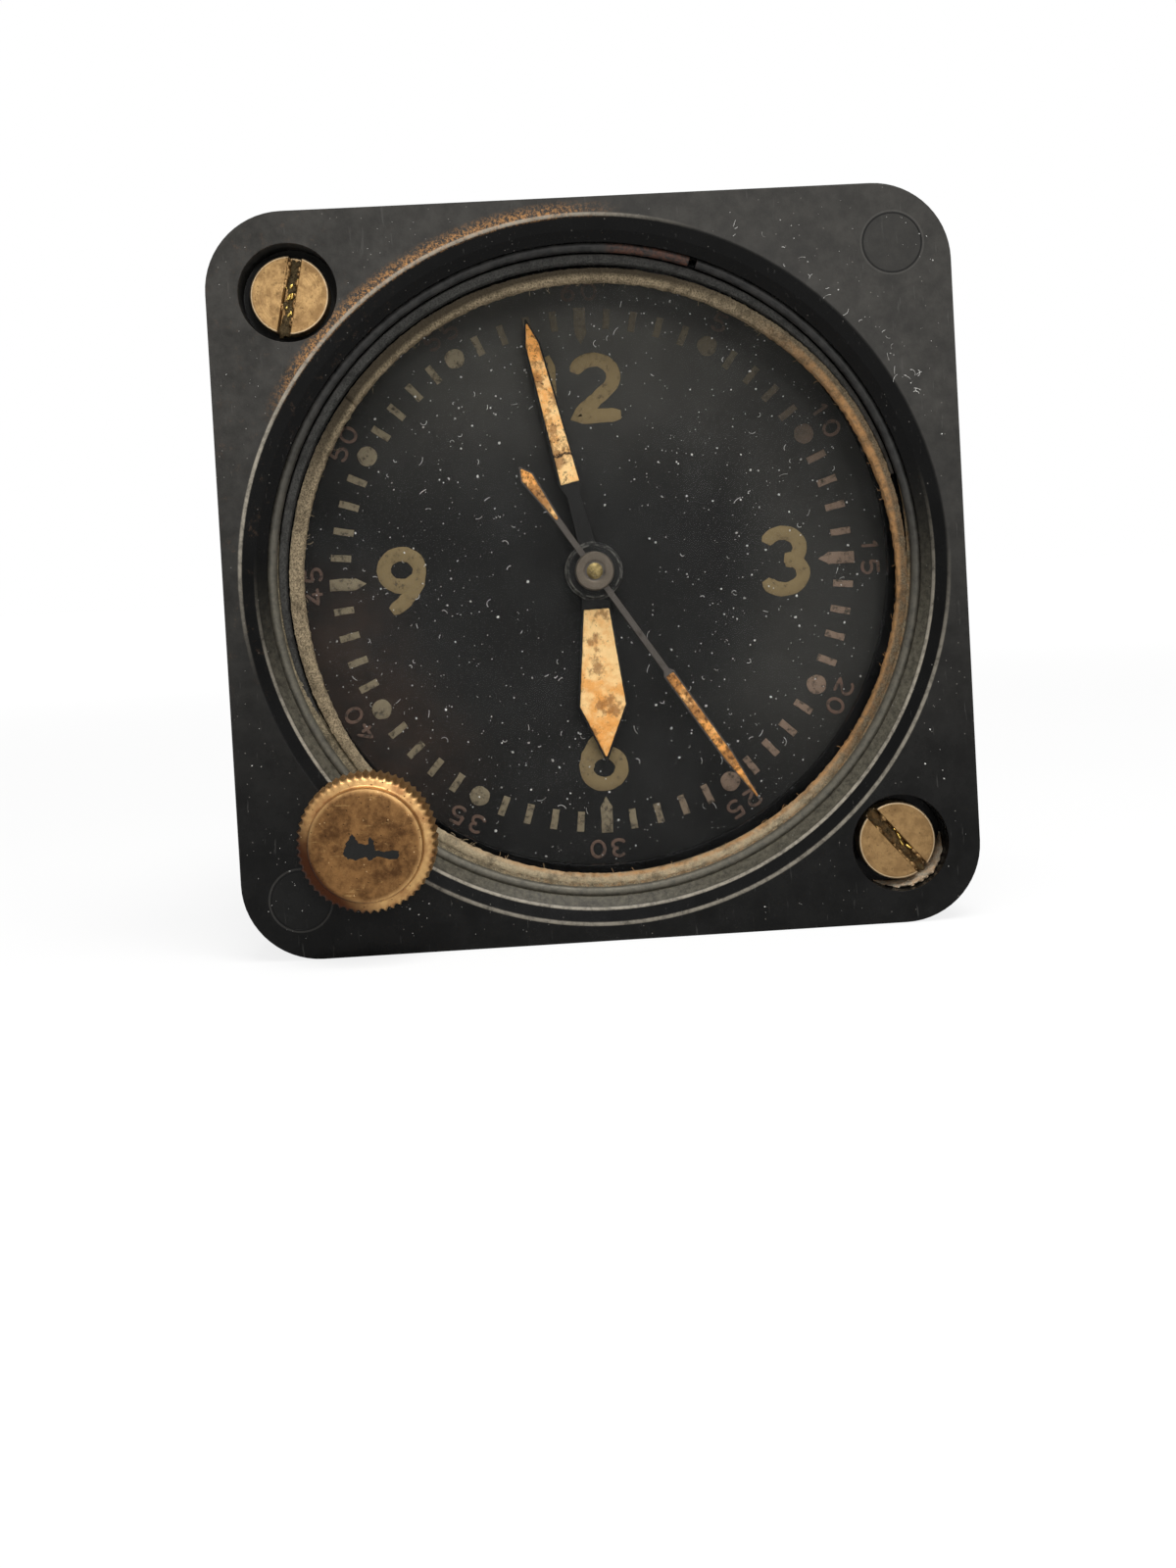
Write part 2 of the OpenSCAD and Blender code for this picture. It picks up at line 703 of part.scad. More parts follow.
leaf_wide = 0.9 * second_tail;
leaf_w = 1.25;
stem_w = 0.5;
module second_fill(inset) {
    edge = second_border + inset;
    hand_outline([
        [second_start + second_shoulder + edge, second_w / 2 - edge],
        [second_l * 0.8, second_w / 2 - edge],
        [second_l - 4 * edge, tip_w / 2]
    ]);
}
module tail_fill(inset) {
    edge = second_border + inset;
    rotate(180) hand_outline([
        [leaf_start + edge, stem_w / 2 - edge],
        [leaf_wide, leaf_w / 2 - edge],
        [second_tail - 2 * edge, tip_w / 2]
    ]);
}
module hour_hand() {
    color([0.06, 0.06, 0.06]) upright() to_hour(hand_angles[0]) slab(z_hour_hand, z_hour_hand + hand_t)
        difference() {
            union() {
                circle(r = hour_hub_r);
                hand_outline([[0, hour_neck / 2], [hour_start, hour_neck / 2], [hour_belly, hour_w / 2],
                    [hour_l, tip_w / 2]]);
            }
            circle(r = hour_pipe_r + seated);
            hour_fill(0);
        }
}
module hour_lume() {
    color([0.85, 0.68, 0.42]) upright() to_hour(hand_angles[0])
        slab(z_hour_hand, z_hour_hand + hand_t + lume_proud) hour_fill(seated);
}
module minute_hand() {
    color([0.06, 0.06, 0.06]) upright() to_hour(hand_angles[1]) slab(z_minute_hand, z_minute_hand + hand_t)
        difference() {
            union() {
                circle(r = hub_r);
                hand_outline([[0, 0.8], [minute_start - 1, 0.55], [minute_start, minute_w / 2],
                    [minute_l - minute_point, minute_tip_w / 2], [minute_l, tip_w / 2]]);
            }
            circle(r = cannon_r + seated);
            minute_fill(0);
        }
}
module minute_lume() {
    color([0.85, 0.68, 0.42]) upright() to_hour(hand_angles[1])
        slab(z_minute_hand, z_minute_hand + hand_t + lume_proud) minute_fill(seated);
}
module seconds_hand() {
    color([0.06, 0.06, 0.06]) upright() to_hour(hand_angles[2]) {
        slab(z_second_hand, z_second_hand + hand_t) difference() {
            union() {
                circle(r = second_hub_r);
                hand_outline([[0, stem_w / 2], [second_start, stem_w / 2],
                    [second_start + second_shoulder, second_w / 2], [second_l * 0.8, second_w / 2],
                    [second_l, tip_w / 2]]);
                rotate(180) hand_outline([[0, stem_w / 2], [leaf_start, stem_w / 2], [leaf_wide, leaf_w / 2],
                    [second_tail, tip_w / 2]]);
            }
            circle(r = second_r + seated);
            second_fill(0);
            tail_fill(0);
        }
        slab(z_second_hand + hand_t - lap, z_second_hand + hand_t + hub_boss_t) difference() {
            circle(r = second_hub_r * 0.8);
            circle(r = second_r + seated);
        }
    }
}
module seconds_lume() {
    color([0.85, 0.68, 0.42]) upright() to_hour(hand_angles[2])
        slab(z_second_hand, z_second_hand + hand_t + lume_proud) {
            second_fill(seated);
            tail_fill(seated);
        }
}

// Winding

module winding_knob() {
    knurl_depth = 0.3;
    knurl_width = [0.7, 0.25];
    top = z_knob + knob_rim_h;
    color([0.55, 0.4, 0.2]) upright() at(stem_at) difference() {
        union() {
            slab(z_knob, top) polygon(tooth_points(knurls, knob_r - knurl_depth, knob_r, knurl_width, 0));
            disc(knob_disc_r, top - lap, top + knob_disc_h);
        }
        disc(stem_r + seated, z_knob - past, top - knob_disc_h);
    }
}
module winding_stem() {
    color([0.6, 0.6, 0.6]) upright() at(stem_at) {
        translate([-square_w / 2, -square_w / 2, z_square_end])
            cube([square_w, square_w, z_shoulder - z_square_end + lap]);
        difference() {
            disc(stem_r, z_shoulder, z_knob + knob_rim_h - knob_disc_h - loose);
            // groove of the clip
            difference() {
                disc(stem_r + past, z_clip - seated, z_clip + clip_t + seated);
                disc(stem_r - clip_groove, z_clip - past, z_clip + past);
            }
        }
    }
}
module stem_clip() {
    color([0.55, 0.55, 0.55]) upright() at(stem_at) difference() {
        disc(clip_r, z_clip, z_clip + clip_t);
        disc(stem_r - clip_groove + seated, z_clip - past, z_clip + past);
        // mouth that the clip is pushed on by, towards the centre
        rotate(stem_dir + 180) translate([0, -clip_mouth / 2, z_clip - past])
            cube([clip_r + past, clip_mouth, 2 * past]);
    }
}
module winding_pinion() {
    hole = square_w + 2 * running;
    color([0.65, 0.65, 0.65]) upright() at(stem_at) slab(z_pinion, z_pinion + pinion_t) difference() {
        teeth(pinion_n, m_winding, 0);
        square([hole, hole], center = true);
    }
}
module winding_idler() {
    color([0.75, 0.6, 0.3]) upright() at(idler_at, z_winding)
        crossed_wheel(idler_n, m_winding, winding_t, idler_phase, post_r + running, 5, 1.8);
}
module ratchet_wheel() {
    color([0.65, 0.65, 0.65]) upright() at(barrel_at, z_winding)
        crossed_wheel(ratchet_n, m_winding, winding_t, ratchet_phase, barrel_arbor_r + seated, 5, 2.4);
}
module click() {
    side = 0.7;
    arm_from = 1;
    nose_l = 1;
    nose_w = 0.1;
    top = z_winding + winding_t;
    color([0.65, 0.65, 0.65]) upright() at(click_at) rotate(click_dir) difference() {
        union() {
            disc(click_eye_r, z_winding, top);
            slab(z_winding, top)
                polygon([[arm_from, side], [click_l, nose_w / 2], [click_l, -nose_w / 2],
                    [click_l - nose_l, -side], [arm_from, -side]]);
        }
        disc(post_r + running, z_winding - past, top + past);
    }
}
module click_spring() {
    blade_w = 0.4;
    above = 1.75;
    tip = click_at + polar(click_l * 0.62, click_dir) + polar(above, click_dir - 90);
    color([0.6, 0.6, 0.6]) upright() slab(z_winding, z_winding + winding_t) difference() {
        union() {
            at(spring_foot) circle(r = click_eye_r);
            beam(spring_foot, tip, blade_w);
        }
        at(spring_foot) circle(r = post_r + seated);
    }
}
// Shoulder screws in the front plate: idler, minute wheel, click and click spring
module shoulder_screw(seat, top, r, head) {
    disc(post_thread_r, z_inner, z_plate + lap);
    disc(r + shoulder_w, z_plate, seat - running);
    disc(r, seat - lap, top + running);
    disc(head[0], top + running - lap / 10, top + running + head[1]);
}
module shoulder_screws() {
    color([0.6, 0.6, 0.62]) upright() {
        for (p = [idler_at, click_at, spring_foot]) at(p)
            shoulder_screw(z_winding, z_winding + winding_t, post_r, [post_head_r, post_head_t]);
        at(minute_at) shoulder_screw(motion_low, motion_high + motion_t, minute_post_r, minute_post_head);
    }
}

// Barrel

module barrel_arbor() {
    color([0.62, 0.62, 0.64]) upright() at(barrel_at) {
        disc(barrel_arbor_r, z_rear, z_winding + winding_t + end_gap);
        disc(rear_pivot_r, z_rear_back - end_gap, z_rear + lap);
        // core that the spring winds on
        disc(barrel_arbor_r + core_wall, z_spring_low, z_spring_high);
        // collar under the ratchet wheel
        disc(barrel_arbor_r + collar_w, z_plate + running, z_winding);
    }
}
module barrel_drum() {
    color([0.75, 0.6, 0.3]) upright() at(barrel_at) difference() {
        union() {
            slab(level(4) - drum_teeth_t, level(4)) teeth(barrel_n, m_barrel, 0);
            disc(drum_outer_r, z_drum_back, level(4) - drum_teeth_t / 2);
        }
        disc(drum_outer_r - drum_wall, z_drum_back + drum_floor, level(4) + past);
        disc(barrel_arbor_r + running, z_drum_back - past, level(4));
    }
}
module barrel_cover() {
    color([0.78, 0.64, 0.34]) upright() at(barrel_at) difference() {
        disc(drum_outer_r - drum_wall - seated, level(4) - cover_sink - lid_t, level(4) - cover_sink);
        disc(barrel_arbor_r + running, z_drum_back, level(4) + past);
    }
}
module mainspring() {
    strip = 0.3;
    color([0.3, 0.32, 0.38]) upright() at(barrel_at)
        slab(z_spring_low, z_spring_high)
            wound_strip(barrel_arbor_r + core_wall + strip + end_gap,
                drum_outer_r - drum_wall - strip, 8, strip);
}

// Going train

module intermediate_wheel() {
    color([0.75, 0.6, 0.3]) upright() at(inter_at, level(1) - wheel_t)
        crossed_wheel(inter_n, m_inter, wheel_t, 0, arbor_r + seated);
}
module intermediate_arbor() {
    color([0.62, 0.62, 0.64]) upright() at(inter_at) {
        pivoted(z_rear + running, z_inner - running, arbor_r, plate_t, plate_t);
        slab(level(4) - drum_teeth_t - pinion_past, level(4) + pinion_past)
            teeth(inter_pinion_n, m_barrel, inter_pinion_phase);
    }
}
module centre_wheel() {
    color([0.75, 0.6, 0.3]) upright() at([0, 0], level(0) - wheel_t)
        crossed_wheel(centre_n, m_centre, wheel_t, 0, centre_r + seated);
}
module centre_arbor() {
    z_end = level(1) - wheel_t - pinion_past;
    color([0.62, 0.62, 0.64]) upright() difference() {
        union() {
            disc(centre_r, z_end, motion_high + motion_t);
            slab(z_end, level(1) + pinion_past / 2) teeth(centre_pinion_n, m_inter, centre_pinion_phase);
        }
        disc(centre_bore_r, z_end - past, z_dial);
    }
}
module cannon_pinion() {
    color([0.62, 0.62, 0.64]) upright() difference() {
        union() {
            slab(motion_low - lap, motion_low + motion_t) teeth(cannon_n, motion_m, 0);
            disc(cannon_r, motion_low, z_minute_hand + hand_t + pipe_past);
        }
        disc(cannon_bore_r, motion_low - past, z_second_hand);
    }
}
module minute_wheel() {
    color([0.75, 0.6, 0.3]) upright() at(minute_at) difference() {
        union() {
            slab(motion_low, motion_low + motion_t) teeth(minute_n, motion_m, minute_phase);
            slab(motion_low, motion_high + motion_t) teeth(minute_pinion_n, hour_m, 0);
        }
        disc(minute_post_r + running, motion_low - past, z_dial);
    }
}
module hour_wheel() {
    color([0.75, 0.6, 0.3]) upright() difference() {
        union() {
            slab(motion_high, motion_high + motion_t) teeth(hour_n, hour_m, hour_phase);
            disc(hour_pipe_r, motion_high, z_hour_hand + hand_t + pipe_past);
        }
        disc(hour_bore_r, motion_high - past, z_minute_hand);
    }
}
module third_wheel() {
    color([0.75, 0.6, 0.3]) upright() at(third_at, level(2) - wheel_t)
        crossed_wheel(third_n, third_m, wheel_t, 0, arbor_r + seated);
}
module third_arbor() {
    color([0.62, 0.62, 0.64]) upright() at(third_at) {
        pivoted(z_rear + running, z_inner - running, arbor_r, plate_t, plate_t);
        slab(level(0) - wheel_t - pinion_past, level(0) + pinion_past)
            teeth(third_pinion_n, m_centre, third_pinion_phase);
    }
}
module fourth_wheel() {
    color([0.75, 0.6, 0.3]) upright() at([0, 0], level(3) - wheel_t)
        crossed_wheel(fourth_n, m_fourth, wheel_t, 0, arbor_r + seated);
}
module seconds_arbor() {
    z_leaf = level(2) + pinion_past / 2;
    color([0.62, 0.62, 0.64]) upright() {
        disc(second_r, z_leaf - lap, z_second_hand + hand_t + hub_boss_t + pipe_past);
        disc(arbor_r, z_rear + running, z_leaf - lap);
        disc(pivot_r, z_rear_back, z_rear + running + lap);
        slab(level(2) - wheel_t - pinion_past, z_leaf) teeth(fourth_pinion_n, third_m, fourth_pinion_phase);
    }
}

// Escapement

module escape_wheel() {
    root = escape_tip_r * 0.74;
    lean = 0.34;
    tooth = [[root, 0], [escape_tip_r, lean], [escape_tip_r, lean + 0.2], [root, 0.45]];
    window_r = root * 0.2;
    window_at = root / 2 + 0.25;
    color([0.72, 0.7, 0.62]) upright() at(escape_at) slab(z_escape, z_escape + wheel_t) difference() {
        polygon([for (k = [0:escape_n - 1], c = tooth) polar(c[0], (k + c[1]) * 360 / escape_n)]);
        circle(r = arbor_r + seated);
        for (k = [0:3]) rotate(k * 90) translate([window_at, 0]) circle(r = window_r);
    }
}
module escape_arbor() {
    color([0.62, 0.62, 0.64]) upright() at(escape_at) {
        pivoted(z_rear + running, z_inner - running, arbor_r, plate_t, plate_t);
        slab(level(3) - wheel_t - pinion_past, level(3) + pinion_past)
            teeth(escape_pinion_n, m_fourth, escape_pinion_phase);
    }
}
// Lever drawn along +x from the escape wheel to the balance
module pallet_lever() {
    pad_clear = 0.5;
    arm_w = 0.7;
    pad_w = 0.6;
    horn_w = 0.4;
    horn_l = 1.1;
    fork_w = 1.4;
    pallet_hub_r = 0.95;
    pad = polar(escape_tip_r + pad_clear, 32) - [pallet_off, 0];
    fork = lever_l - 1.5;
    color([0.65, 0.65, 0.66]) upright() at(pallet_at) rotate(lever_dir) slab(z_escape, z_escape + wheel_t)
        difference() {
            union() {
                circle(r = pallet_hub_r);
                for (s = [-1, 1]) {
                    beam([0, 0], [pad[0] + 0.7, s * (pad[1] + 0.5)], arm_w);
                    beam([pad[0] + 0.9, s * (pad[1] + 0.55)], [pad[0], s * pad[1]], pad_w);
                    beam([fork - horn_l, s * 0.5], [fork, s * 0.75], horn_w);
                }
                beam([0, 0], [fork - horn_l, 0], arm_w);
                translate([fork - horn_l - lap, -fork_w / 2]) square([horn_w, fork_w]);
            }
            circle(r = arbor_r + seated);
        }
}
module pallet_arbor() {
    color([0.62, 0.62, 0.64]) upright() at(pallet_at)
        pivoted(z_rear + running, z_boss - running, arbor_r, boss_hole_l - 2 * running, plate_t);
}
module balance_wheel() {
    rim = 0.8;
    hub = 1.4;
    sink = 0.15;
    color([0.78, 0.64, 0.34]) upright() at(balance_at) {
        slab(z_balance, z_balance + balance_t) difference() {
            circle(r = balance_rim_r);
            circle(r = balance_rim_r - rim);
        }
        slab(z_balance + sink, z_balance + balance_t - sink) difference() {
            union() {
                circle(r = hub);
                for (a = [0, 120, 240]) rotate(a) beam([0, 0], [balance_rim_r - rim / 2, 0], spoke_w);
            }
            circle(r = arbor_r + seated);
        }
    }
}
module balance_staff() {
    color([0.62, 0.62, 0.64]) upright() at(balance_at) {
        disc(arbor_r, z_rear_back + running, z_boss - running);
        disc(pivot_r, z_boss - running - lap, z_boss + boss_hole_l - 2 * running);
        disc(pivot_r, z_rear_back - cock_t, z_rear_back + running + lap);
        // roller with its impulse pin
        disc(roller_r, z_roller, z_roller + roller_t);
        at(polar(roller_r - roller_rim - impulse_pin_r, lever_dir + 180))
            disc(impulse_pin_r, z_escape, z_roller + lap);
        // collet of the hairspring
        disc(collet_r, z_hairspring - collet_past, z_hairspring + hairspring_t + collet_past);
    }
}
module hairspring() {
    strip = 0.12;
    color([0.35, 0.4, 0.55]) upright() at(balance_at) slab(z_hairspring, z_hairspring + hairspring_t)
        wound_strip(collet_r + strip / 2 + seated, balance_rim_r * 0.62, 6, strip);
}
module balance_cock() {
    color([0.75, 0.62, 0.34]) upright() slab(z_rear_back - cock_t, z_rear_back) difference() {
        union() {
            at(balance_at) circle(r = cock_w / 2 + 0.5);
            beam(balance_at, cock_foot, cock_w);
            at(cock_foot) circle(r = cock_w / 2 + 0.9);
        }
        at(balance_at) circle(r = pivot_r + running);
        for (s = [-1, 1]) at(cock_screw_at(s)) circle(r = small_thread_r + running);
    }
}
module cock_screws() {
    color([0.6, 0.6, 0.62]) upright() for (s = [-1, 1])
        at(cock_screw_at(s), z_rear_back - cock_t)
            rotate([180, 0, 30]) small_screw(small_thread_r, cock_t + plate_t, cock_head_r, small_head_t);
}
module regulator() {
    eye_r = 0.8;
    ring_r = 1.6;
    tail_l = 5.8;
    t = 0.5;
    color([0.65, 0.65, 0.66]) upright() at(balance_at)
        slab(z_rear_back - cock_t - t, z_rear_back - cock_t - seated) difference() {
            union() {
                circle(r = ring_r);
                rotate(70) hand_outline([[0, 0.5], [0.9 * tail_l, 0.3], [tail_l, 0.05]]);
            }
            circle(r = eye_r);
        }
}

// Plates

module plate_blank(z0) {
    difference() {
        disc(plate_r, z0, z0 + plate_t);
        for (p = [inter_at, third_at, escape_at]) at(p)
            disc(pivot_r + running, z0 - past, z0 + plate_t + past);
    }
}
module front_plate() {
    color([0.76, 0.62, 0.33]) upright() difference() {
        union() {
            plate_blank(z_inner);
            disc(centre_boss_r, z_inner - centre_boss, z_inner + lap);
            at(balance_at) disc(balance_boss_r, z_boss, z_inner + lap);
            at(pallet_at) disc(pallet_boss_r, z_boss, z_inner + lap);
        }
        disc(centre_r + running, z_inner - centre_boss - past, z_plate + past);
        at(barrel_at) disc(barrel_arbor_r + running, z_inner - past, z_plate + past);
        for (p = [balance_at, pallet_at]) at(p) disc(pivot_r + running, z_boss - past, z_boss + boss_hole_l);
        for (p = [idler_at, minute_at, click_at, spring_foot]) at(p)
            disc(post_thread_r + seated, z_inner - past, z_plate + past);
        for (a = pillar_dirs) at(polar(pillar_orbit, a))
            disc(tenon_r + seated, z_inner - past, z_plate + past);
        for (a = foot_dirs) at(polar(foot_orbit, a)) disc(foot_r + seated, z_inner - past, z_plate + past);
    }
}
module rear_plate() {
    color([0.76, 0.62, 0.33]) upright() difference() {
        plate_blank(z_rear_back);
        at([0, 0]) disc(pivot_r + running, z_rear_back - past, z_rear + past);
        at(pallet_at) disc(pivot_r + running, z_rear_back - past, z_rear + past);
        at(barrel_at) disc(rear_pivot_r + running, z_rear_back - past, z_rear + past);
        at(balance_at) disc(balance_hole_r, z_rear_back - past, z_rear + past);
        for (a = pillar_dirs) at(polar(pillar_orbit, a))
            disc(small_thread_r + running, z_rear_back - past, z_rear + past);
        for (a = post_dirs) at(polar(post_orbit, a))
            disc(tenon_r + seated, z_rear_back - past, z_rear + past);
        for (s = [-1, 1]) at(cock_screw_at(s))
            disc(small_thread_r + seated, z_rear_back - past, z_rear + past);
    }
}
module plate_pillars() {
    color([0.72, 0.58, 0.3]) upright() for (a = pillar_dirs) at(polar(pillar_orbit, a)) difference() {
        union() {
            disc(pillar_r, z_rear, z_inner);
            disc(tenon_r, z_inner - lap, z_plate);
        }
        disc(small_thread_r + seated, z_rear - past, z_rear + thread_l + thread_room);
    }
}
module pillar_screws() {
    color([0.6, 0.6, 0.62]) upright() for (a = pillar_dirs) at(polar(pillar_orbit, a), z_rear_back)
        rotate([180, 0, a]) small_screw(small_thread_r, plate_t + thread_l, small_head_r, small_head_t);
}
// Posts that carry the movement on the rear cover
module movement_posts() {
    color([0.72, 0.58, 0.3]) upright() for (a = post_dirs) at(polar(post_orbit, a)) difference() {
        union() {
            disc(movement_post_r, z_cover, z_rear_back);
            disc(tenon_r, z_rear_back - lap, z_rear);
        }
        disc(small_thread_r + seated, z_cover - past, z_cover + thread_l + thread_room);
    }
}
module movement_screws() {
    color([0.35, 0.34, 0.32]) upright() for (a = post_dirs) at(polar(post_orbit, a), z_back)
        rotate([180, 0, a + 25]) small_screw(small_thread_r, cover_t + thread_l, small_head_r, small_head_t);
}

case_body();
rear_cover();
rear_cover_screws();
rear_gasket();
mounting_screws();
glass();
glass_gasket();
snap_ring();
dial_plate();
dial_feet();
front_plate();
rear_plate();
plate_pillars();
pillar_screws();
movement_posts();
movement_screws();
shoulder_screws();
click();
click_spring();
winding_idler();
winding_pinion();
winding_stem();
stem_clip();
winding_knob();
ratchet_wheel();
barrel_arbor();
barrel_drum();
barrel_cover();
mainspring();
intermediate_wheel();
intermediate_arbor();
centre_wheel();
centre_arbor();
cannon_pinion();
minute_wheel();
hour_wheel();
third_wheel();
third_arbor();
fourth_wheel();
seconds_arbor();
escape_wheel();
escape_arbor();
pallet_lever();
pallet_arbor();
balance_wheel();
balance_staff();
hairspring();
balance_cock();
cock_screws();
regulator();
hour_hand();
hour_lume();
minute_hand();
minute_lume();
seconds_hand();
seconds_lume();
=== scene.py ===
# %% [markdown]
# # An old aircraft clock, dressed on its construction model
# The solids of the clock are already right in size and place. This lesson loads them as a
# fixed frame and adds what a camera sees: rounded edges, aged paint and brass, the printed
# dial, luminous fillings, a frayed gasket, dust, a floor, soft light and a camera.
# Lengths are written in millimetres, in the clock's own plane: x to the right of the dial,
# y towards twelve and z towards the viewer. One small function turns them into metres.

# %% Load the frame
import json
import math
import random
import bmesh
import bpy
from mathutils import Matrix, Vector, noise

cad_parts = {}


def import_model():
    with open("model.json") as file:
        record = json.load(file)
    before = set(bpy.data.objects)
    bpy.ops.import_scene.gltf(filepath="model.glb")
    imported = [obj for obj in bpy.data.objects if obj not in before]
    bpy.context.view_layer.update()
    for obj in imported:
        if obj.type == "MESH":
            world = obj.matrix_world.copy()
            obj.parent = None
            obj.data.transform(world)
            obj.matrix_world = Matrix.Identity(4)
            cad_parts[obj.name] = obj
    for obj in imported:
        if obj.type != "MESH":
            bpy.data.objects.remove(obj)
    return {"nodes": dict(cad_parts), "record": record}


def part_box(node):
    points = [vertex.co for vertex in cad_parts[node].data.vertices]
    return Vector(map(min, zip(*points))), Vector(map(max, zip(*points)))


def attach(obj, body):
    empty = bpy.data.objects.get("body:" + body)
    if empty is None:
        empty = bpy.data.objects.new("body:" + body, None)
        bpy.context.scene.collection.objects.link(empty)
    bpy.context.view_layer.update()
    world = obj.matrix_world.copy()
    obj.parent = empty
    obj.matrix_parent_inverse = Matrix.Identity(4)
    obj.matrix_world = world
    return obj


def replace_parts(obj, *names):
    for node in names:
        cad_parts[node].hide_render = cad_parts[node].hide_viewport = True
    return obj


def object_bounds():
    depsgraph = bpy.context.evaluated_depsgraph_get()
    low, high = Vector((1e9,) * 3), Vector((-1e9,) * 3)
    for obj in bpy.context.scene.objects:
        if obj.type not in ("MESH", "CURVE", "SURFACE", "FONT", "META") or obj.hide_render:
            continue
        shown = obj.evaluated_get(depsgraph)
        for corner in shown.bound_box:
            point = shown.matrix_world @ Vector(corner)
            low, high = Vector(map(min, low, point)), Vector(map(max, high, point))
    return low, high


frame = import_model()
nodes = frame["nodes"]
cad_box = [list(corner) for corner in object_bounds()]
print("box in mm", [[round(1000 * v, 2) for v in corner] for corner in cad_box])


# %% [markdown]
# ## From the clock's plane to the world
# The dial faces -Y, so a point that lies z in front of the panel has the world's y at -z.
# `front_of` and `back_of` read a piece's height from the frame, so a new piece always sits
# on the surface that carries it, even if the construction model changes.

# %% Places
MM = 0.001


def world(x, y, z):
    return Vector((x * MM, -z * MM, y * MM))


def front_of(node):
    return -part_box(node)[0][1] / MM


def back_of(node):
    return -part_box(node)[1][1] / MM


def centre_of(node):
    low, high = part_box(node)
    return (low[0] + high[0]) / 2 / MM, (low[2] + high[2]) / 2 / MM


def polar(centre, r, a):
    """The point at distance r and angle a from a centre, in radians from x towards y."""
    return centre[0] + r * math.cos(a), centre[1] + r * math.sin(a)


def clock_point(radius, angle):
    """A point at a clock angle: 0 is twelve, and it grows the way the hands turn."""
    a = math.radians(angle)
    return radius * math.sin(a), radius * math.cos(a)


def full_turn(count):
    return [2 * math.pi * k / count for k in range(count)]


FACE, DIAL, GLASS = (front_of(node) for node in ("case_body", "dial_plate", "glass"))
KNOB_AT, GASKET_AT = centre_of("winding_knob"), centre_of("glass_gasket")
SCREWS_AT = ((-23.62, 23.62), (23.62, -23.62))
print("face", round(FACE, 2), "glass", round(GLASS, 2), "dial", round(DIAL, 2))


# %% [markdown]
# ## A small language for finishes
# Every finish is a Principled shader with a few procedural nodes in front of it. The class
# below makes nodes with one short call each, and `coat` lays one colour over another like a
# painter. All patterns use the object's own coordinates in millimetres, so a grain of 0.2
# really is 0.2 mm and stays with the piece as it moves.

# %% Finishes by nodes
def net(tree):
    """A maker of nodes for one tree: it takes a kind, inputs by number or name, and settings."""
    def add(kind, inputs=(), **settings):
        node = tree.nodes.new(kind)
        for key, value in settings.items():
            setattr(node, key, value)
        for key, value in dict(inputs).items():
            if isinstance(value, bpy.types.NodeSocket):
                tree.links.new(value, node.inputs[key])
            else:
                node.inputs[key].default_value = value
        return node.outputs

    return add


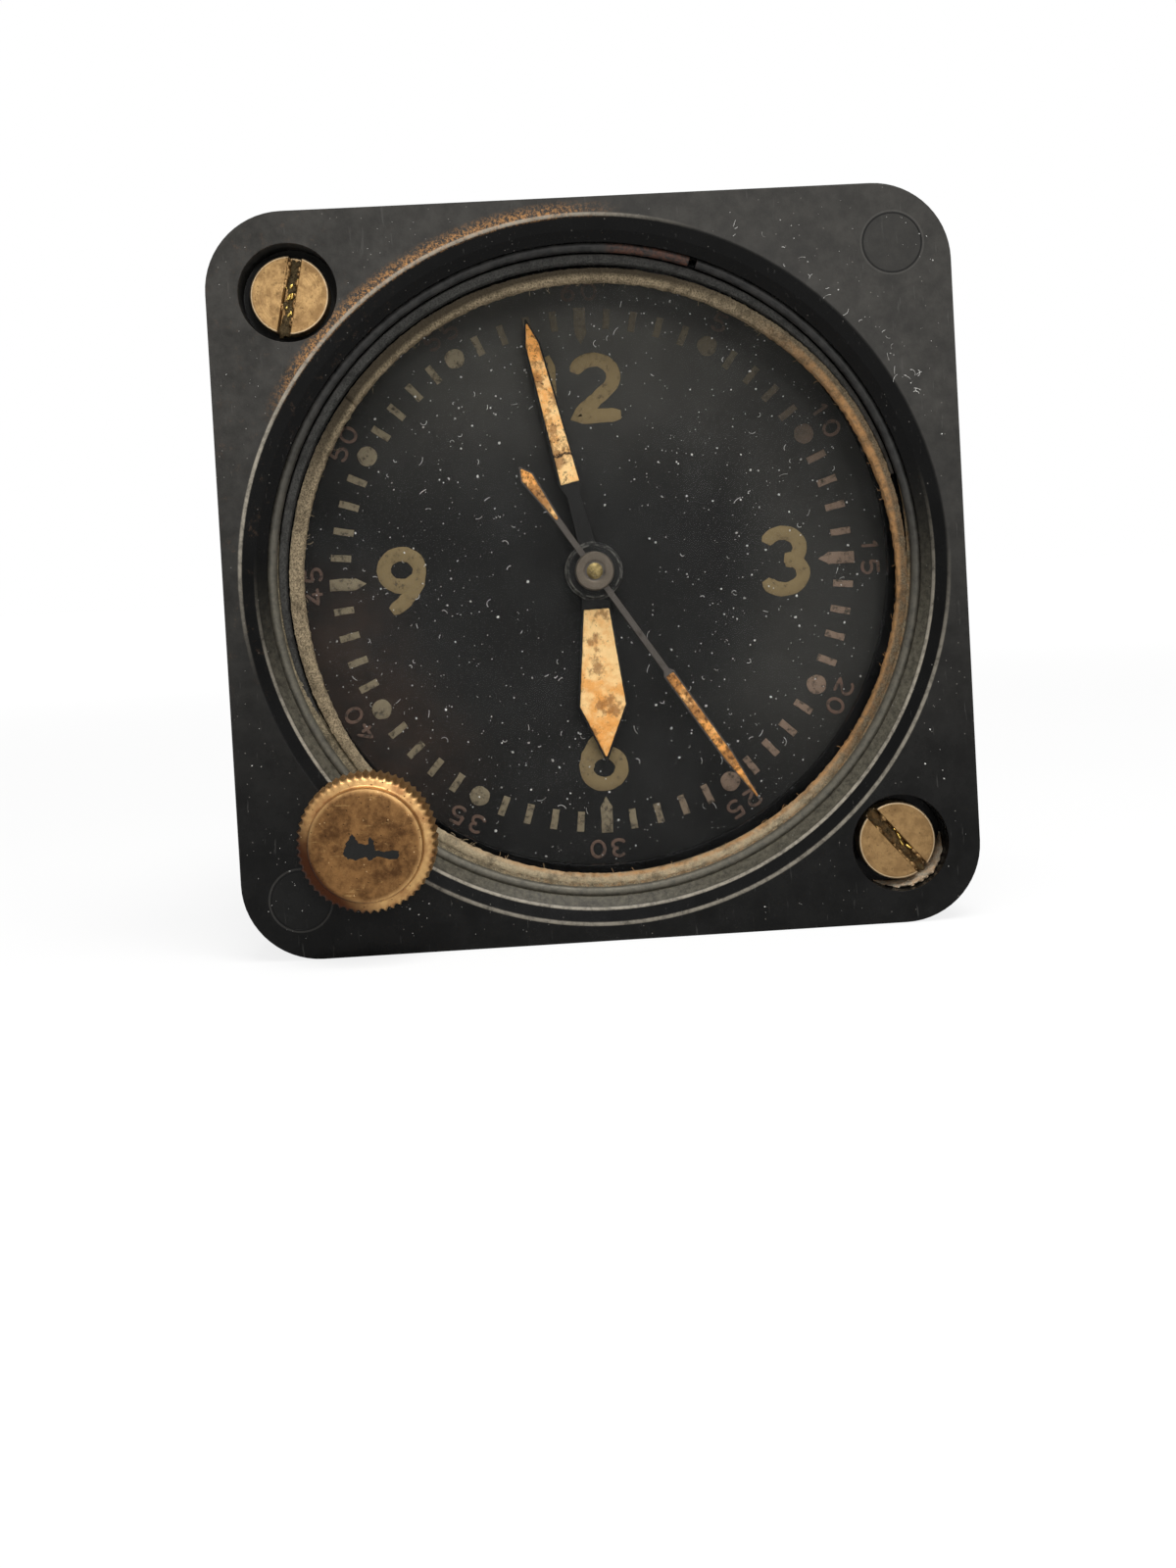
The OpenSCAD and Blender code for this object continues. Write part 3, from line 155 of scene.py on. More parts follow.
class Finish:
    def __init__(self, name, **constants):
        self.material = bpy.data.materials.new(name)
        self.material.use_nodes = True
        self.tree = self.material.node_tree
        self.add = net(self.tree)
        self.shader = self.tree.nodes["Principled BSDF"]
        for socket, value in constants.items():
            self.shader.inputs[socket.replace("_", " ")].default_value = value
        place = {0: self.add("ShaderNodeTexCoord")["Object"], "Scale": 1 / MM}
        self.mm = self.add("ShaderNodeVectorMath", place, operation="SCALE")["Vector"]
        self.skin = None

    def vector(self, operation, a, b):
        return self.add("ShaderNodeVectorMath", {0: a, 1: b}, operation=operation)["Vector"]

    def math(self, operation, *values):
        return self.add("ShaderNodeMath", dict(enumerate(values)), operation=operation)[0]

    def times(self, product, *factors):
        for factor in factors:
            product = self.math("MULTIPLY", product, factor)
        return product

    def noise(self, size, detail=5.0, roughness=0.6, stretch=None, shift=0.0):
        """Cloudy pattern with features about size mm wide."""
        place = self.mm
        if stretch:
            place = self.vector("MULTIPLY", place, stretch)
        if shift:
            place = self.vector("ADD", place, (shift, shift, shift))
        pattern = {"Vector": place, "Scale": 1 / size, "Detail": detail, "Roughness": roughness}
        return self.add("ShaderNodeTexNoise", pattern)["Fac"]

    def turning(self, radius, scale):
        """Marks of a lathe: a pattern that changes with the radius only."""
        return self.add("ShaderNodeTexNoise", {"Vector": radius, "Scale": scale})["Fac"]

    def cells(self, size, shift):
        """Distance from scattered points about size mm apart."""
        place = self.vector("ADD", self.mm, (shift, shift, shift))
        return self.add("ShaderNodeTexVoronoi", {"Vector": place, "Scale": 1 / size})["Distance"]

    def span(self, value, low, high, start=0.0, end=1.0):
        """value from low to high becomes start to end, held at both ends."""
        ends = {"From Min": low, "From Max": high, "To Min": start, "To Max": end, "Value": value}
        return self.add("ShaderNodeMapRange", ends, interpolation_type="SMOOTHSTEP")["Result"]

    def fall(self, value, low, high):
        return self.span(value, low, high, 1.0, 0.0)

    def line(self, radius, at, half):
        """1 on a thin circle, 0 away from it."""
        off = self.math("ABSOLUTE", self.math("SUBTRACT", radius, at))
        return self.fall(off, half * 0.4, half)

    def blend(self, amount, a, b):
        a, b = ((*c, 1) if isinstance(c, tuple) else c for c in (a, b))
        return self.add("ShaderNodeMix", {0: amount, 6: a, 7: b}, data_type="RGBA")[2]

    def coat(self, colour, *amounts):
        """Lay a colour over the skin, as thick as the product of the amounts."""
        self.skin = self.blend(self.times(*amounts), self.skin, colour)

    def axis(self, index):
        """0 is x, 1 the depth behind the panel and 2 the height."""
        return self.add("ShaderNodeSeparateXYZ", {0: self.mm})[index]

    def radius(self, centre=(0.0, 0.0)):
        flat = self.vector("MULTIPLY", self.mm, (1, 0, 1))
        away = self.vector("SUBTRACT", flat, (centre[0], 0, centre[1]))
        return self.add("ShaderNodeVectorMath", {0: away}, operation="LENGTH")["Value"]

    def near_angle(self, angle, half_width, fade):
        """1 within half_width degrees of a clock angle round the clock's axis."""
        turn = self.math("ARCTAN2", self.axis(0), self.axis(2))
        away = self.math("SUBTRACT", turn, math.radians(angle))
        away = self.math("ABSOLUTE", self.math("WRAP", away, math.pi, -math.pi))
        return self.fall(away, math.radians(half_width), math.radians(half_width + fade))

    def wire(self, **sockets):
        for socket, value in sockets.items():
            self.tree.links.new(value, self.shader.inputs[socket.replace("_", " ")])
        return self.material

    def done(self, rough, height, depth):
        """Wire skin, roughness and a relief, in which height from 0 to 1 stands depth mm high."""
        bump = self.add("ShaderNodeBump", {"Distance": depth * MM, "Height": height})["Normal"]
        return self.wire(Base_Color=self.skin, Roughness=rough, Normal=bump)


def dim(colour, share):
    return tuple(share * c for c in colour)


print("finishes can be mixed")

# %% [markdown]
# ## The black moulding
# The case is a dark phenolic moulding. Age has left it half glossy, with a grey film that is
# partly dust and partly painted light, lighter towards the top, faint swirls, and orange dust
# caught along the opening's edge. Pale edge lines are partly wear and partly painted highlights,
# and a pale lower sill is partly dust and partly painted light. All of these are painted by place:
# by height on the face and by distance from the clock's axis.
# The rear cover is the same stuff, turned flat on a lathe, so it keeps fine round grooves.

# %% Black moulding
OPENING, INNER_EDGE = 28.75, 27.6
MARK_R = 2.4
MOULD_MARKS = ((25.4, 25.3), (-25.4, -25.3))


def face_dirt(f):
    """Orange dust, pale edge lines that are partly wear and partly painted highlights, a lower sill
    partly dusty and partly painted light, stains, specks and tool marks on the flange and its rim.
    """
    r = f.radius()
    front = f.fall(f.axis(1), 2.2 - FACE, 2.6 - FACE)
    grains = f.span(f.noise(0.26, 6, 0.85, shift=3), 0.47, 0.57)
    edge = f.times(f.fall(r, OPENING + 0.2, OPENING + 1.3), f.span(r, OPENING - 0.3, OPENING))
    f.coat((0.5, 0.25, 0.09), edge, grains, f.near_angle(332, 20, 16), front, 0.95)
    stains = f.span(f.noise(1.1, 9, 0.85, shift=17), 0.55, 0.7)
    f.coat((0.13, 0.08, 0.05), f.near_angle(292, 26, 20), stains, front, 0.4)
    low = f.near_angle(175, 62, 40)
    # partly dust, partly painted light: a pale band on the lower sill, where the inner slope faces
    # up to the light
    sill = f.times(low, f.fall(r, INNER_EDGE - 0.25, INNER_EDGE))
    patches = f.span(f.noise(0.5, 7, 0.8, shift=40), 0.3, 0.7, 0.3, 1.0)
    f.coat((0.21, 0.19, 0.14), sill, patches, front, 0.55)
    # partly wear, partly painted highlights: pale lines along the rim's outer edge at the upper
    # left and lower right, and along its inner edge below
    sides = f.math("MAXIMUM", f.near_angle(318, 34, 30), f.times(f.near_angle(158, 40, 34), 0.7))
    outer = f.times(f.line(r, OPENING + 0.02, 0.2), sides)
    inner = f.times(f.line(r, INNER_EDGE, 0.16), low)
    broken = f.span(f.noise(0.9, 7, 0.8, shift=30), 0.3, 0.6, 0.25, 1.0)
    f.coat((0.4, 0.36, 0.29), f.math("MAXIMUM", outer, inner), broken, front, 0.85)
    for centre in MOULD_MARKS:
        away = f.radius(centre)
        f.coat((0.02, 0.02, 0.019), f.fall(away, MARK_R - 0.1, MARK_R), front, 0.3)
        f.coat((0.12, 0.115, 0.105), f.line(away, MARK_R + 0.14, 0.12), front, 0.25)
        f.coat((0.008, 0.008, 0.0078), f.line(away, MARK_R, 0.11), front, 0.8)
    f.coat((0.3, 0.28, 0.25), f.fall(f.cells(0.85, 11), 0.035, 0.075), front, 0.45)


def black_moulding():
    f = Finish("black_moulding", Specular_IOR_Level=0.1)
    cloud = f.noise(3.0, 6, 0.65)
    f.skin = f.blend(f.span(cloud, 0.3, 0.7), (0.0035, 0.0035, 0.0034), (0.0085, 0.0084, 0.0081))
    slope = f.fall(f.radius(), OPENING - 0.25, OPENING + 0.1)
    # dust and painted light together: the grey film grows lighter towards the top, standing in for
    # the light from above
    film = f.times(f.span(f.noise(1.7, 9, 0.65, shift=7), 0.2, 0.85, 0.34, 0.82),
                   f.span(f.axis(2), -27, 22, 0.02, 1.0), f.span(slope, 0.0, 1.0, 1.0, 0.05),
                   f.span(f.axis(1), -FACE, 0.6 - FACE, 1.0, 0.4))
    f.coat((0.076, 0.072, 0.065), film)
    f.coat((0.002, 0.002, 0.002), slope, 0.65)
    scratch = f.span(f.noise(0.25, 3, 0.6, stretch=(1, 1, 0.09), shift=25), 0.66, 0.72)
    f.coat((0.16, 0.155, 0.145), scratch, 0.16)
    face_dirt(f)
    rough = f.math("ADD", f.span(cloud, 0.2, 0.8, 0.2, 0.3), f.times(film, 0.4))
    return f.done(rough, f.math("ADD", f.noise(0.12, 3, 0.5), f.times(cloud, 0.6)), 0.008)


def rear_moulding():
    f = Finish("turned_black_rear", Specular_IOR_Level=0.35)
    cloud, grooves = f.noise(2.4, 8, 0.7), f.turning(f.radius(), 7.0)
    f.skin = f.blend(f.span(grooves, 0.3, 0.7), (0.009, 0.009, 0.0088), (0.026, 0.0255, 0.0245))
    f.coat((0.06, 0.057, 0.052), f.span(cloud, 0.45, 0.75, 0.0, 0.5))
    scratch = f.span(f.noise(0.3, 3, 0.6, stretch=(0.1, 1, 1), shift=25), 0.66, 0.71)
    f.coat((0.15, 0.145, 0.135), scratch, 0.4)
    return f.done(f.span(cloud, 0.3, 0.7, 0.32, 0.5), grooves, 0.02)


MOULDING = black_moulding()
REAR_MOULDING = rear_moulding()
print(MOULDING.name, REAR_MOULDING.name)


# %% [markdown]
# ## Brass and steel
# One recipe serves most of the metals: a base colour that drifts a little, tarnish in clouds,
# and grain as stretched noise. The mounting screws have one of their own, with turning
# marks, stains and pits.

# %% Metals
def metal(name, bright, dull, tarnish, rough, grain=(1, 1, 1)):
    f = Finish(name, Metallic=1.0)
    lines = f.noise(0.25, 4, 0.6, stretch=grain)
    stain = f.span(f.noise(1.1, 7, 0.7), 0.62 - tarnish, 0.86 - tarnish)
    f.skin = f.blend(lines, bright, dim(bright, 0.72))
    f.coat(dull, stain)
    rough = f.math("ADD", f.span(lines, 0.25, 0.75, rough, rough + 0.16), f.times(stain, 0.22))
    return f.done(rough, lines, 0.01)


def screw_brass():
    """Brown old brass: turning marks round each screw, stains, pits, a worn edge and painted shade
    that darkens the lower screw.
    """
    f = Finish("aged_screw_brass", Metallic=1.0)
    away = f.math("MINIMUM", *(f.radius(centre) for centre in SCREWS_AT))
    turning, cloud = f.turning(away, 3.0), f.noise(1.0, 7, 0.72)
    f.skin = f.blend(f.span(cloud, 0.38, 0.62), (0.54, 0.34, 0.145), (0.28, 0.165, 0.068))
    f.coat((0.36, 0.22, 0.1), f.span(turning, 0.35, 0.65, 0.0, 0.5))
    f.coat((0.14, 0.082, 0.036), f.span(f.noise(0.5, 7, 0.8, shift=5), 0.53, 0.66, 0.0, 0.7))
    # painted shade: the brass darkens downwards, so the lower screw is darker
    f.coat((0.19, 0.115, 0.05), f.span(f.axis(2), -20, 20, 0.55, 0.0))
    f.coat((0.8, 0.64, 0.42), f.line(away, 3.12, 0.14), 0.5)
    pits = f.fall(f.cells(0.42, 3), 0.05, 0.14)
    f.coat((0.09, 0.055, 0.025), pits, 0.55)
    height = f.math("SUBTRACT", f.math("ADD", turning, cloud), pits)
    return f.done(f.span(cloud, 0.25, 0.75, 0.36, 0.54), height, 0.02)


ALONG_AXIS, ALONG_X, ALONG_Y = (1, 0.08, 1), (0.05, 1, 1), (1, 1, 0.08)
SCREW_BRASS = screw_brass()
BRIGHT_BRASS = metal("bare_brass", (0.95, 0.68, 0.18), (0.6, 0.4, 0.12), 0.0, 0.16)
PLATE_BRASS = metal("grained_plate_brass", (0.66, 0.48, 0.19), (0.45, 0.3, 0.1), 0.0, 0.28, ALONG_X)
TURNED_BRASS = metal("turned_brass", (0.62, 0.44, 0.17), (0.42, 0.27, 0.09), 0.02, 0.24, ALONG_AXIS)
WHEEL_BRASS = metal("cut_wheel_brass", (0.72, 0.53, 0.21), (0.5, 0.34, 0.12), 0.0, 0.22, ALONG_Y)
BRIGHT_STEEL = metal("polished_steel", (0.6, 0.6, 0.6), (0.36, 0.35, 0.34), 0.0, 0.2, ALONG_AXIS)
BLUE_STEEL = metal("blued_spring_steel", (0.09, 0.13, 0.26), (0.05, 0.06, 0.1), 0.05, 0.25)
DARK_STEEL = metal("blackened_screw_steel", (0.17, 0.165, 0.16), (0.07, 0.065, 0.06), 0.12, 0.35)
COPPER = metal("drawn_copper", (0.62, 0.3, 0.17), (0.3, 0.13, 0.07), 0.05, 0.3)
print("metals", len([m for m in bpy.data.materials if m.use_nodes]))

# %% [markdown]
# ## The knob's brass
# Fingers have worn the knob unevenly. Its raised disc is brown with patina, pitted and
# scratched, while the knurled rim is paler where skin has worn it. Its lower left is darkened
# to red brown as painted shade. The distance from the knob's own axis tells disc and rim apart.

# %% Knob brass
# the side towards which the knob's rim gets painted shade
SHADE_SIDE = (-0.82, -0.57)


def knob_brass():
    f = Finish("knob_patina_brass", Metallic=1.0)
    cloud = f.noise(1.6, 8, 0.75)
    f.skin = f.blend(f.span(cloud, 0.36, 0.66), (0.25, 0.128, 0.048), (0.08, 0.038, 0.016))
    f.coat((0.5, 0.3, 0.12), f.span(f.noise(0.5, 7, 0.8, shift=12), 0.55, 0.75), 0.5)
    scratch = f.span(f.noise(0.35, 4, 0.7, stretch=(0.12, 1, 1), shift=5), 0.62, 0.7)
    f.coat((0.62, 0.4, 0.16), scratch, 0.35)
    disc = f.skin
    f.skin = f.blend(f.span(cloud, 0.35, 0.7), (0.58, 0.36, 0.15), (0.3, 0.14, 0.055))
    # painted shade: the rim darkens to red brown towards the lower left
    toward_shade = f.math("ADD", f.times(f.axis(0), SHADE_SIDE[0]), f.times(f.axis(2), SHADE_SIDE[1]))
    middle = SHADE_SIDE[0] * KNOB_AT[0] + SHADE_SIDE[1] * KNOB_AT[1]
    f.coat((0.06, 0.022, 0.011), f.span(toward_shade, middle + 1.6, middle + 4.4))
    f.skin = f.blend(f.span(f.radius(KNOB_AT), 4.05, 4.5), disc, f.skin)
    pits = f.fall(f.cells(0.5, 2), 0.05, 0.16)
    f.coat((0.05, 0.03, 0.015), pits, 0.7)
    f.coat((0.8, 0.55, 0.28), f.fall(f.cells(0.75, 6), 0.04, 0.09), 0.6)
    rough = f.math("ADD", f.span(cloud, 0.2, 0.8, 0.36, 0.55), f.times(pits, 0.3))
    return f.done(rough, f.math("SUBTRACT", cloud, pits), 0.03)


KNOB_BRASS = knob_brass()
print(KNOB_BRASS.name, "about", [round(v, 2) for v in KNOB_AT])


# %% [markdown]
# ## Paint, print and luminous paste
# The dial is matt black with a grey haze and a reddish one near eight o'clock. The printed
# figures were luminous once and have turned olive brown, and the small figures are a faded
# red brown. The paste in the hands is still pale, with brown stains, specks and a crack.

# %% Paint and paste
def dial_paint():
    f = Finish("dial_black_paint", Specular_IOR_Level=0.12)
    r, cloud, mottle = f.radius(), f.noise(6.0, 7, 0.7), f.noise(0.3, 6, 0.75, shift=4)
    f.skin = f.blend(f.span(mottle, 0.3, 0.75), (0.0055, 0.0055, 0.0052), (0.017, 0.0166, 0.0155))
    upper = f.times(f.span(f.axis(2), 3, 24), f.span(cloud, 0.3, 0.7, 0.6, 0.9),
                    f.span(r, 20, 23, 1.0, 0.6))
    right = f.times(f.near_angle(85, 38, 30), f.span(r, 11, 18, 0.0, 0.28))
    f.coat((0.105, 0.101, 0.088), f.math("MAXIMUM", upper, right), 0.7)
    low_left = f.times(f.near_angle(243, 16, 22), f.span(r, 14, 22))
    f.coat((0.062, 0.038, 0.026), low_left, f.span(cloud, 0.3, 0.65, 0.1, 0.4))
    f.coat((0.34, 0.34, 0.32), f.fall(f.cells(0.62, 9), 0.03, 0.07), 0.25)
    return f.done(f.span(mottle, 0.3, 0.7, 0.62, 0.8), mottle, 0.015)


def printed(name, fresh, faded, wear, lost=None, worn_lit_edges=(), tint=None):
    """lost = (angle, half width, inner radius) of the faded part; the edge radii give pale lines,
    partly wear and partly painted highlight; tint = (angle, half width, colour) of a part that
    has changed colour."""
    f = Finish(name, Specular_IOR_Level=0.2)
    cloud = f.noise(0.55, 7, 0.75)
    worn = f.span(cloud, 0.62 - wear, 0.8 - wear)
    if lost:
        angle, half, inner = lost
        gone = f.times(f.near_angle(angle, half, 20), f.span(f.radius(), inner, inner + 1))
        worn = f.math("MAXIMUM", worn, f.times(gone, f.span(cloud, 0.3, 0.6, 1.0, 0.7)))
    if tint:
        angle, half, colour = tint
        fresh = f.blend(f.near_angle(angle, half, 25), fresh, colour)
    f.skin = f.blend(worn, fresh, faded)
    # pale lines at the given edge radii: partly wear, partly painted highlight
    for edge in worn_lit_edges:
        bare = f.span(cloud, 0.4, 0.62, 0.0, 0.7)
        f.coat((0.16, 0.155, 0.135), f.line(f.radius(), edge, 0.12), bare)
    return f.done(f.span(cloud, 0.2, 0.8, 0.7, 0.9), cloud, 0.02)


def hand_paste(name, shift, dirty, ends, crack=None):
    """shift moves the pattern, dirty is the share of stains, ends are the radii of root and
    tip, and crack is the radius of a break."""
    f = Finish(name, Specular_IOR_Level=0.2)
    cloud, grain = f.noise(1.4, 5, 0.6, shift=shift), f.noise(0.12, 4, 0.7, shift=shift + 6)
    age = f.math("ADD", f.span(cloud, 0.35, 0.65, -0.4, 0.4), f.span(f.radius(), *ends, 0.1, 0.9))
    f.skin = f.blend(f.span(age, 0.0, 1.0), (0.97, 0.65, 0.29), (0.86, 0.39, 0.1))
    stains = f.noise(1.8, 6, 0.68, shift=shift + 13)
    f.coat((0.3, 0.13, 0.04), f.span(stains, 0.62 - dirty, 0.72 - dirty), 0.75)
    flecks = f.noise(0.5, 6, 0.8, shift=shift + 21)
    f.coat((0.09, 0.038, 0.014), f.span(flecks, 0.7 - dirty, 0.77 - dirty), 0.85)
    crowd = f.span(f.noise(1.0, 5, 0.7, shift=shift + 30), 0.42, 0.6, 0.0, 0.85)
    f.coat((0.16, 0.065, 0.022), f.fall(f.cells(0.4, shift + 2), 0.07, 0.15), crowd)
    if crack:
        ragged = f.math("ADD", f.radius(), f.span(f.noise(0.4, 5, 0.8), 0.2, 0.8, -0.25, 0.25))
        f.coat((0.03, 0.018, 0.01), f.line(ragged, crack, 0.16))
    return f.done(f.span(grain, 0.2, 0.8, 0.8, 0.95), f.math("ADD", grain, cloud), 0.05)


DIAL_PAINT = dial_paint()
DIAL_LUME = printed("olive_dial_figures", (0.19, 0.14, 0.068), (0.06, 0.047, 0.03), 0.1)
RING_LUME = printed("worn_dial_ring", (0.2, 0.165, 0.105), (0.04, 0.034, 0.026), 0.14,
                    lost=(22, 34, 18.5), tint=(105, 45, (0.2, 0.14, 0.1)))
MINUTE_INK = printed("red_brown_minute_figures", (0.14, 0.088, 0.064), (0.036, 0.032, 0.028), 0.14,
                     lost=(8, 42, 22))
HAND_PAINT = printed("hand_black_paint", (0.012, 0.0118, 0.011), (0.035, 0.03, 0.024), 0.02,
                     worn_lit_edges=(2.2, 2.41))
SWEEP_PAINT = printed("worn_grey_sweep_paint", (0.082, 0.072, 0.062), (0.036, 0.029, 0.024), 0.08)
HOUR_PASTE = hand_paste("cream_hour_paste", 3, 0.1, (4, 17))
MINUTE_PASTE = hand_paste("cream_minute_paste", 11, 0.16, (8, 22), crack=10.1)
SWEEP_PASTE = hand_paste("brown_sweep_paste", 19, 0.2, (0, 12))
print("dial finishes", DIAL_PAINT.name, HOUR_PASTE.name)


# %% [markdown]
# ## Fibre, wire and glass
# The gasket is a strip of tan fibre. Short random strokes stand for its threads, and its
# stains are laid by angle and by distance from its own centre, together with painted light:
# an orange stain at the lower right that is partly painted light, an orange painted highlight
# on its inner lip there, a lighter painted bottom and a painted shadow over its outer part at
# the top. The wire is dark plated steel, worn to copper beside its split and paler below with
# dust and painted light. The glass lets nearly everything through: a low alpha keeps
# it clear in every renderer, and fine dust raises the alpha in spots.

# %% Fibre, wire and glass
def fibre(name, pale, dark, lip_edge=0.0):
    """The last argument is the radius of the gasket's inner lip. Only the gasket gives it: inside
    it an orange painted highlight is laid at the lower right, and at the top a painted shadow
    darkens the strip, most of all outside it.
    """
    f = Finish(name, Specular_IOR_Level=0.15)
    strokes = f.noise(0.14, 5, 0.8, shift=8)
    f.skin = f.blend(f.span(strokes, 0.35, 0.65), dark, pale)
    # partly rust stain, partly painted light: an orange tint at the lower right, where light falls
    # on the fibre
    orange = (pale[0] * 1.05, pale[1] * 0.68, pale[2] * 0.42)
    rust_and_light = f.span(f.noise(0.7, 7, 0.8, shift=2), 0.4, 0.62)
    f.coat(orange, f.near_angle(130, 40, 45), rust_and_light, 0.6)
    if lip_edge:
        r = f.radius(GASKET_AT)
        f.coat(dim(dark, 0.4), f.near_angle(85, 35, 35), 0.6)
        # painted light: the strip is lighter at the bottom, where it faces the light
        f.coat((0.56, 0.47, 0.31), f.near_angle(185, 35, 25), 0.5)
        # painted highlight: an orange line of light along the inner lip at the lower right
        patches = f.span(f.noise(0.8, 7, 0.8, shift=14), 0.35, 0.6, 0.2, 0.85)
        lip = f.fall(r, lip_edge, lip_edge + 0.3)
        f.coat((0.44, 0.23, 0.09), lip, f.near_angle(125, 60, 35), patches)
        # painted shadow: the rim's shadow darkens the strip's outer part at the top
        shade = f.span(r, lip_edge - 0.35, lip_edge + 0.15, 0.25, 0.92)
        f.coat(dim(dark, 0.3), shade, f.near_angle(340, 34, 34))
    f.coat(dim(dark, 0.4), f.span(f.noise(1.2, 7, 0.75), 0.46, 0.68), 0.6)
    return f.done(f.span(strokes, 0.2, 0.8, 0.8, 0.95), strokes, 0.06)


def worn_wire():
    f = Finish("dark_snap_wire", Metallic=0.4, Specular_IOR_Level=0.3)
    cloud = f.noise(0.8, 6, 0.7)
    f.skin = f.blend(f.span(cloud, 0.3, 0.7), (0.014, 0.014, 0.0135), (0.042, 0.0405, 0.038))
    bare = f.span(f.noise(0.5, 6, 0.8, shift=4), 0.4, 0.6)
    f.coat((0.13, 0.055, 0.035), f.near_angle(13, 6, 3), bare, 0.7)
    # partly dust, partly painted light: the wire is paler at the bottom, where it faces up to the
    # light
    dust_and_light = f.span(f.noise(0.6, 7, 0.8, shift=9), 0.3, 0.6, 0.35, 1.0)
    f.coat((0.145, 0.132, 0.1), f.near_angle(190, 75, 45), dust_and_light, 0.75)
    return f.done(f.span(cloud, 0.25, 0.75, 0.4, 0.62), cloud, 0.02)


def clear_glass():
    f = Finish("clear_dusty_glass", IOR=1.5, Base_Color=(0.75, 0.77, 0.75, 1))
    film = f.span(f.noise(5.0, 7, 0.7), 0.4, 0.75, 0.002, 0.009)
    dust = f.span(f.cells(0.75, 5), 0.02, 0.05, 0.25, 0.0)
    smears = f.span(f.noise(0.8, 5, 0.6), 0.3, 0.7, 0.05, 0.16)
    return f.wire(Alpha=f.math("ADD", film, dust), Roughness=smears)


GASKET_FIBRE = fibre("tan_gasket_fibre", (0.43, 0.34, 0.215), (0.08, 0.061, 0.038), 24.7)
REAR_FIBRE = fibre("dark_rear_fibre", (0.13, 0.1, 0.065), (0.06, 0.045, 0.03))
SNAP_WIRE = worn_wire()
CLEAR_GLASS = clear_glass()
print(GASKET_FIBRE.name, SNAP_WIRE.name, CLEAR_GLASS.name)

# %% [markdown]
# ## Every solid gets its finish
# The record says which material slot each solid uses, so one table from slot to finish
# dresses all of them, the hidden movement included. The pieces that the camera sees best
# are replaced further down by finer meshes.

# %% Dress the solids
SLOT_FINISH = {
    "black_phenolic": MOULDING, "screw_brass": SCREW_BRASS, "dark_screw": DARK_STEEL,
    "rear_fibre": REAR_FIBRE, "gasket_fibre": GASKET_FIBRE, "clear_glass": CLEAR_GLASS,
    "dark_wire": SNAP_WIRE, "dial_black": DIAL_PAINT, "copper": COPPER,
    "plate_brass": PLATE_BRASS, "pillar_brass": TURNED_BRASS, "bright_steel": BRIGHT_STEEL,
    "spring_steel": BLUE_STEEL, "knob_brass": KNOB_BRASS, "wheel_brass": WHEEL_BRASS,
    "hand_black": HAND_PAINT, "hand_lume": HOUR_PASTE,
}
slot_of = {s["node"]: s["material_slot"] for s in frame["record"]["subparts"]}
for node, solid in nodes.items():
    solid.data.materials.clear()
    solid.data.materials.append(SLOT_FINISH[slot_of[node]])
nodes["rear_cover"].data.materials[0] = REAR_MOULDING
print("dressed", len(nodes), "solids in", len(SLOT_FINISH), "finishes")


# %% [markdown]
# ## Making a piece
# `piece` turns points in the clock's plane into a mesh object, gives it a finish
# and lets it ride on its body. Faces meet softly unless they turn by more than 40 degrees.
# Most small pieces are rings of points with a skin drawn over them, which `loft` does, and
# many small shells are `joined` into one piece.

# %% Pieces
SHARP = math.radians(40)


def placed(name, data):
    obj = bpy.data.objects.new(name, data)
    bpy.context.scene.collection.objects.link(obj)
    return obj


def reworked(mesh, work):
    """Let a function change the mesh in its editable form."""
    bm = bmesh.new()
    bm.from_mesh(mesh)
    work(bm)
    bm.to_mesh(mesh)
    bm.free()


def finish_piece(obj, body, finish, sharp=SHARP):
    obj.data.materials.clear()
    obj.data.materials.append(finish)
    obj.data.shade_smooth()
    obj.data.set_sharp_from_angle(angle=sharp)
    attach(obj, body)
    return obj


def piece(name, points, faces, body, slot, finish):
    mesh = bpy.data.meshes.new(name)
    mesh.from_pydata([world(*p) for p in points], [], faces)
    reworked(mesh, lambda bm: bmesh.ops.recalc_face_normals(bm, faces=bm.faces))
    return finish_piece(placed(name, mesh), body, finish)


def loft(rows, count):
    """Faces of a skin over rows of count points each, closed with a cap at both ends."""
    last = (rows - 1) * count
    skin = [(a + s, a + (s + 1) % count, a + count + (s + 1) % count, a + count + s)
            for a in range(0, last, count) for s in range(count)]
    return skin + [tuple(range(count)), tuple(range(last, last + count))]


def joined(shells):
    points, faces = [], []
    for more_points, more_faces in shells:
        shift = len(points)
        points += more_points
        faces += [tuple(shift + i for i in face) for face in more_faces]
    return points, faces


def wave(x, y, z):
    """Smooth random value between -1 and 1 at a point."""
    return noise.noise(Vector((x, y, z)))


body_of = {n: b for b, ns in frame["record"]["behaviour"]["bodies"].items() for n in ns}


# %% [markdown]
# ## Softer edges
# Real mouldings and metal pieces have no razor edges. `softened` copies a solid, welds its
# triangles, joins the flat ones back into whole faces and bevels what is left. The bevel
# catches the light in a thin line, which the photograph shows round every edge.

# %% Softened copies of the solids
EDGE = math.radians(14)


def welded(bm):
    bmesh.ops.remove_doubles(bm, verts=bm.verts, dist=0.002 * MM)
    bmesh.ops.dissolve_limit(bm, angle_limit=math.radians(0.6), verts=bm.verts, edges=bm.edges)


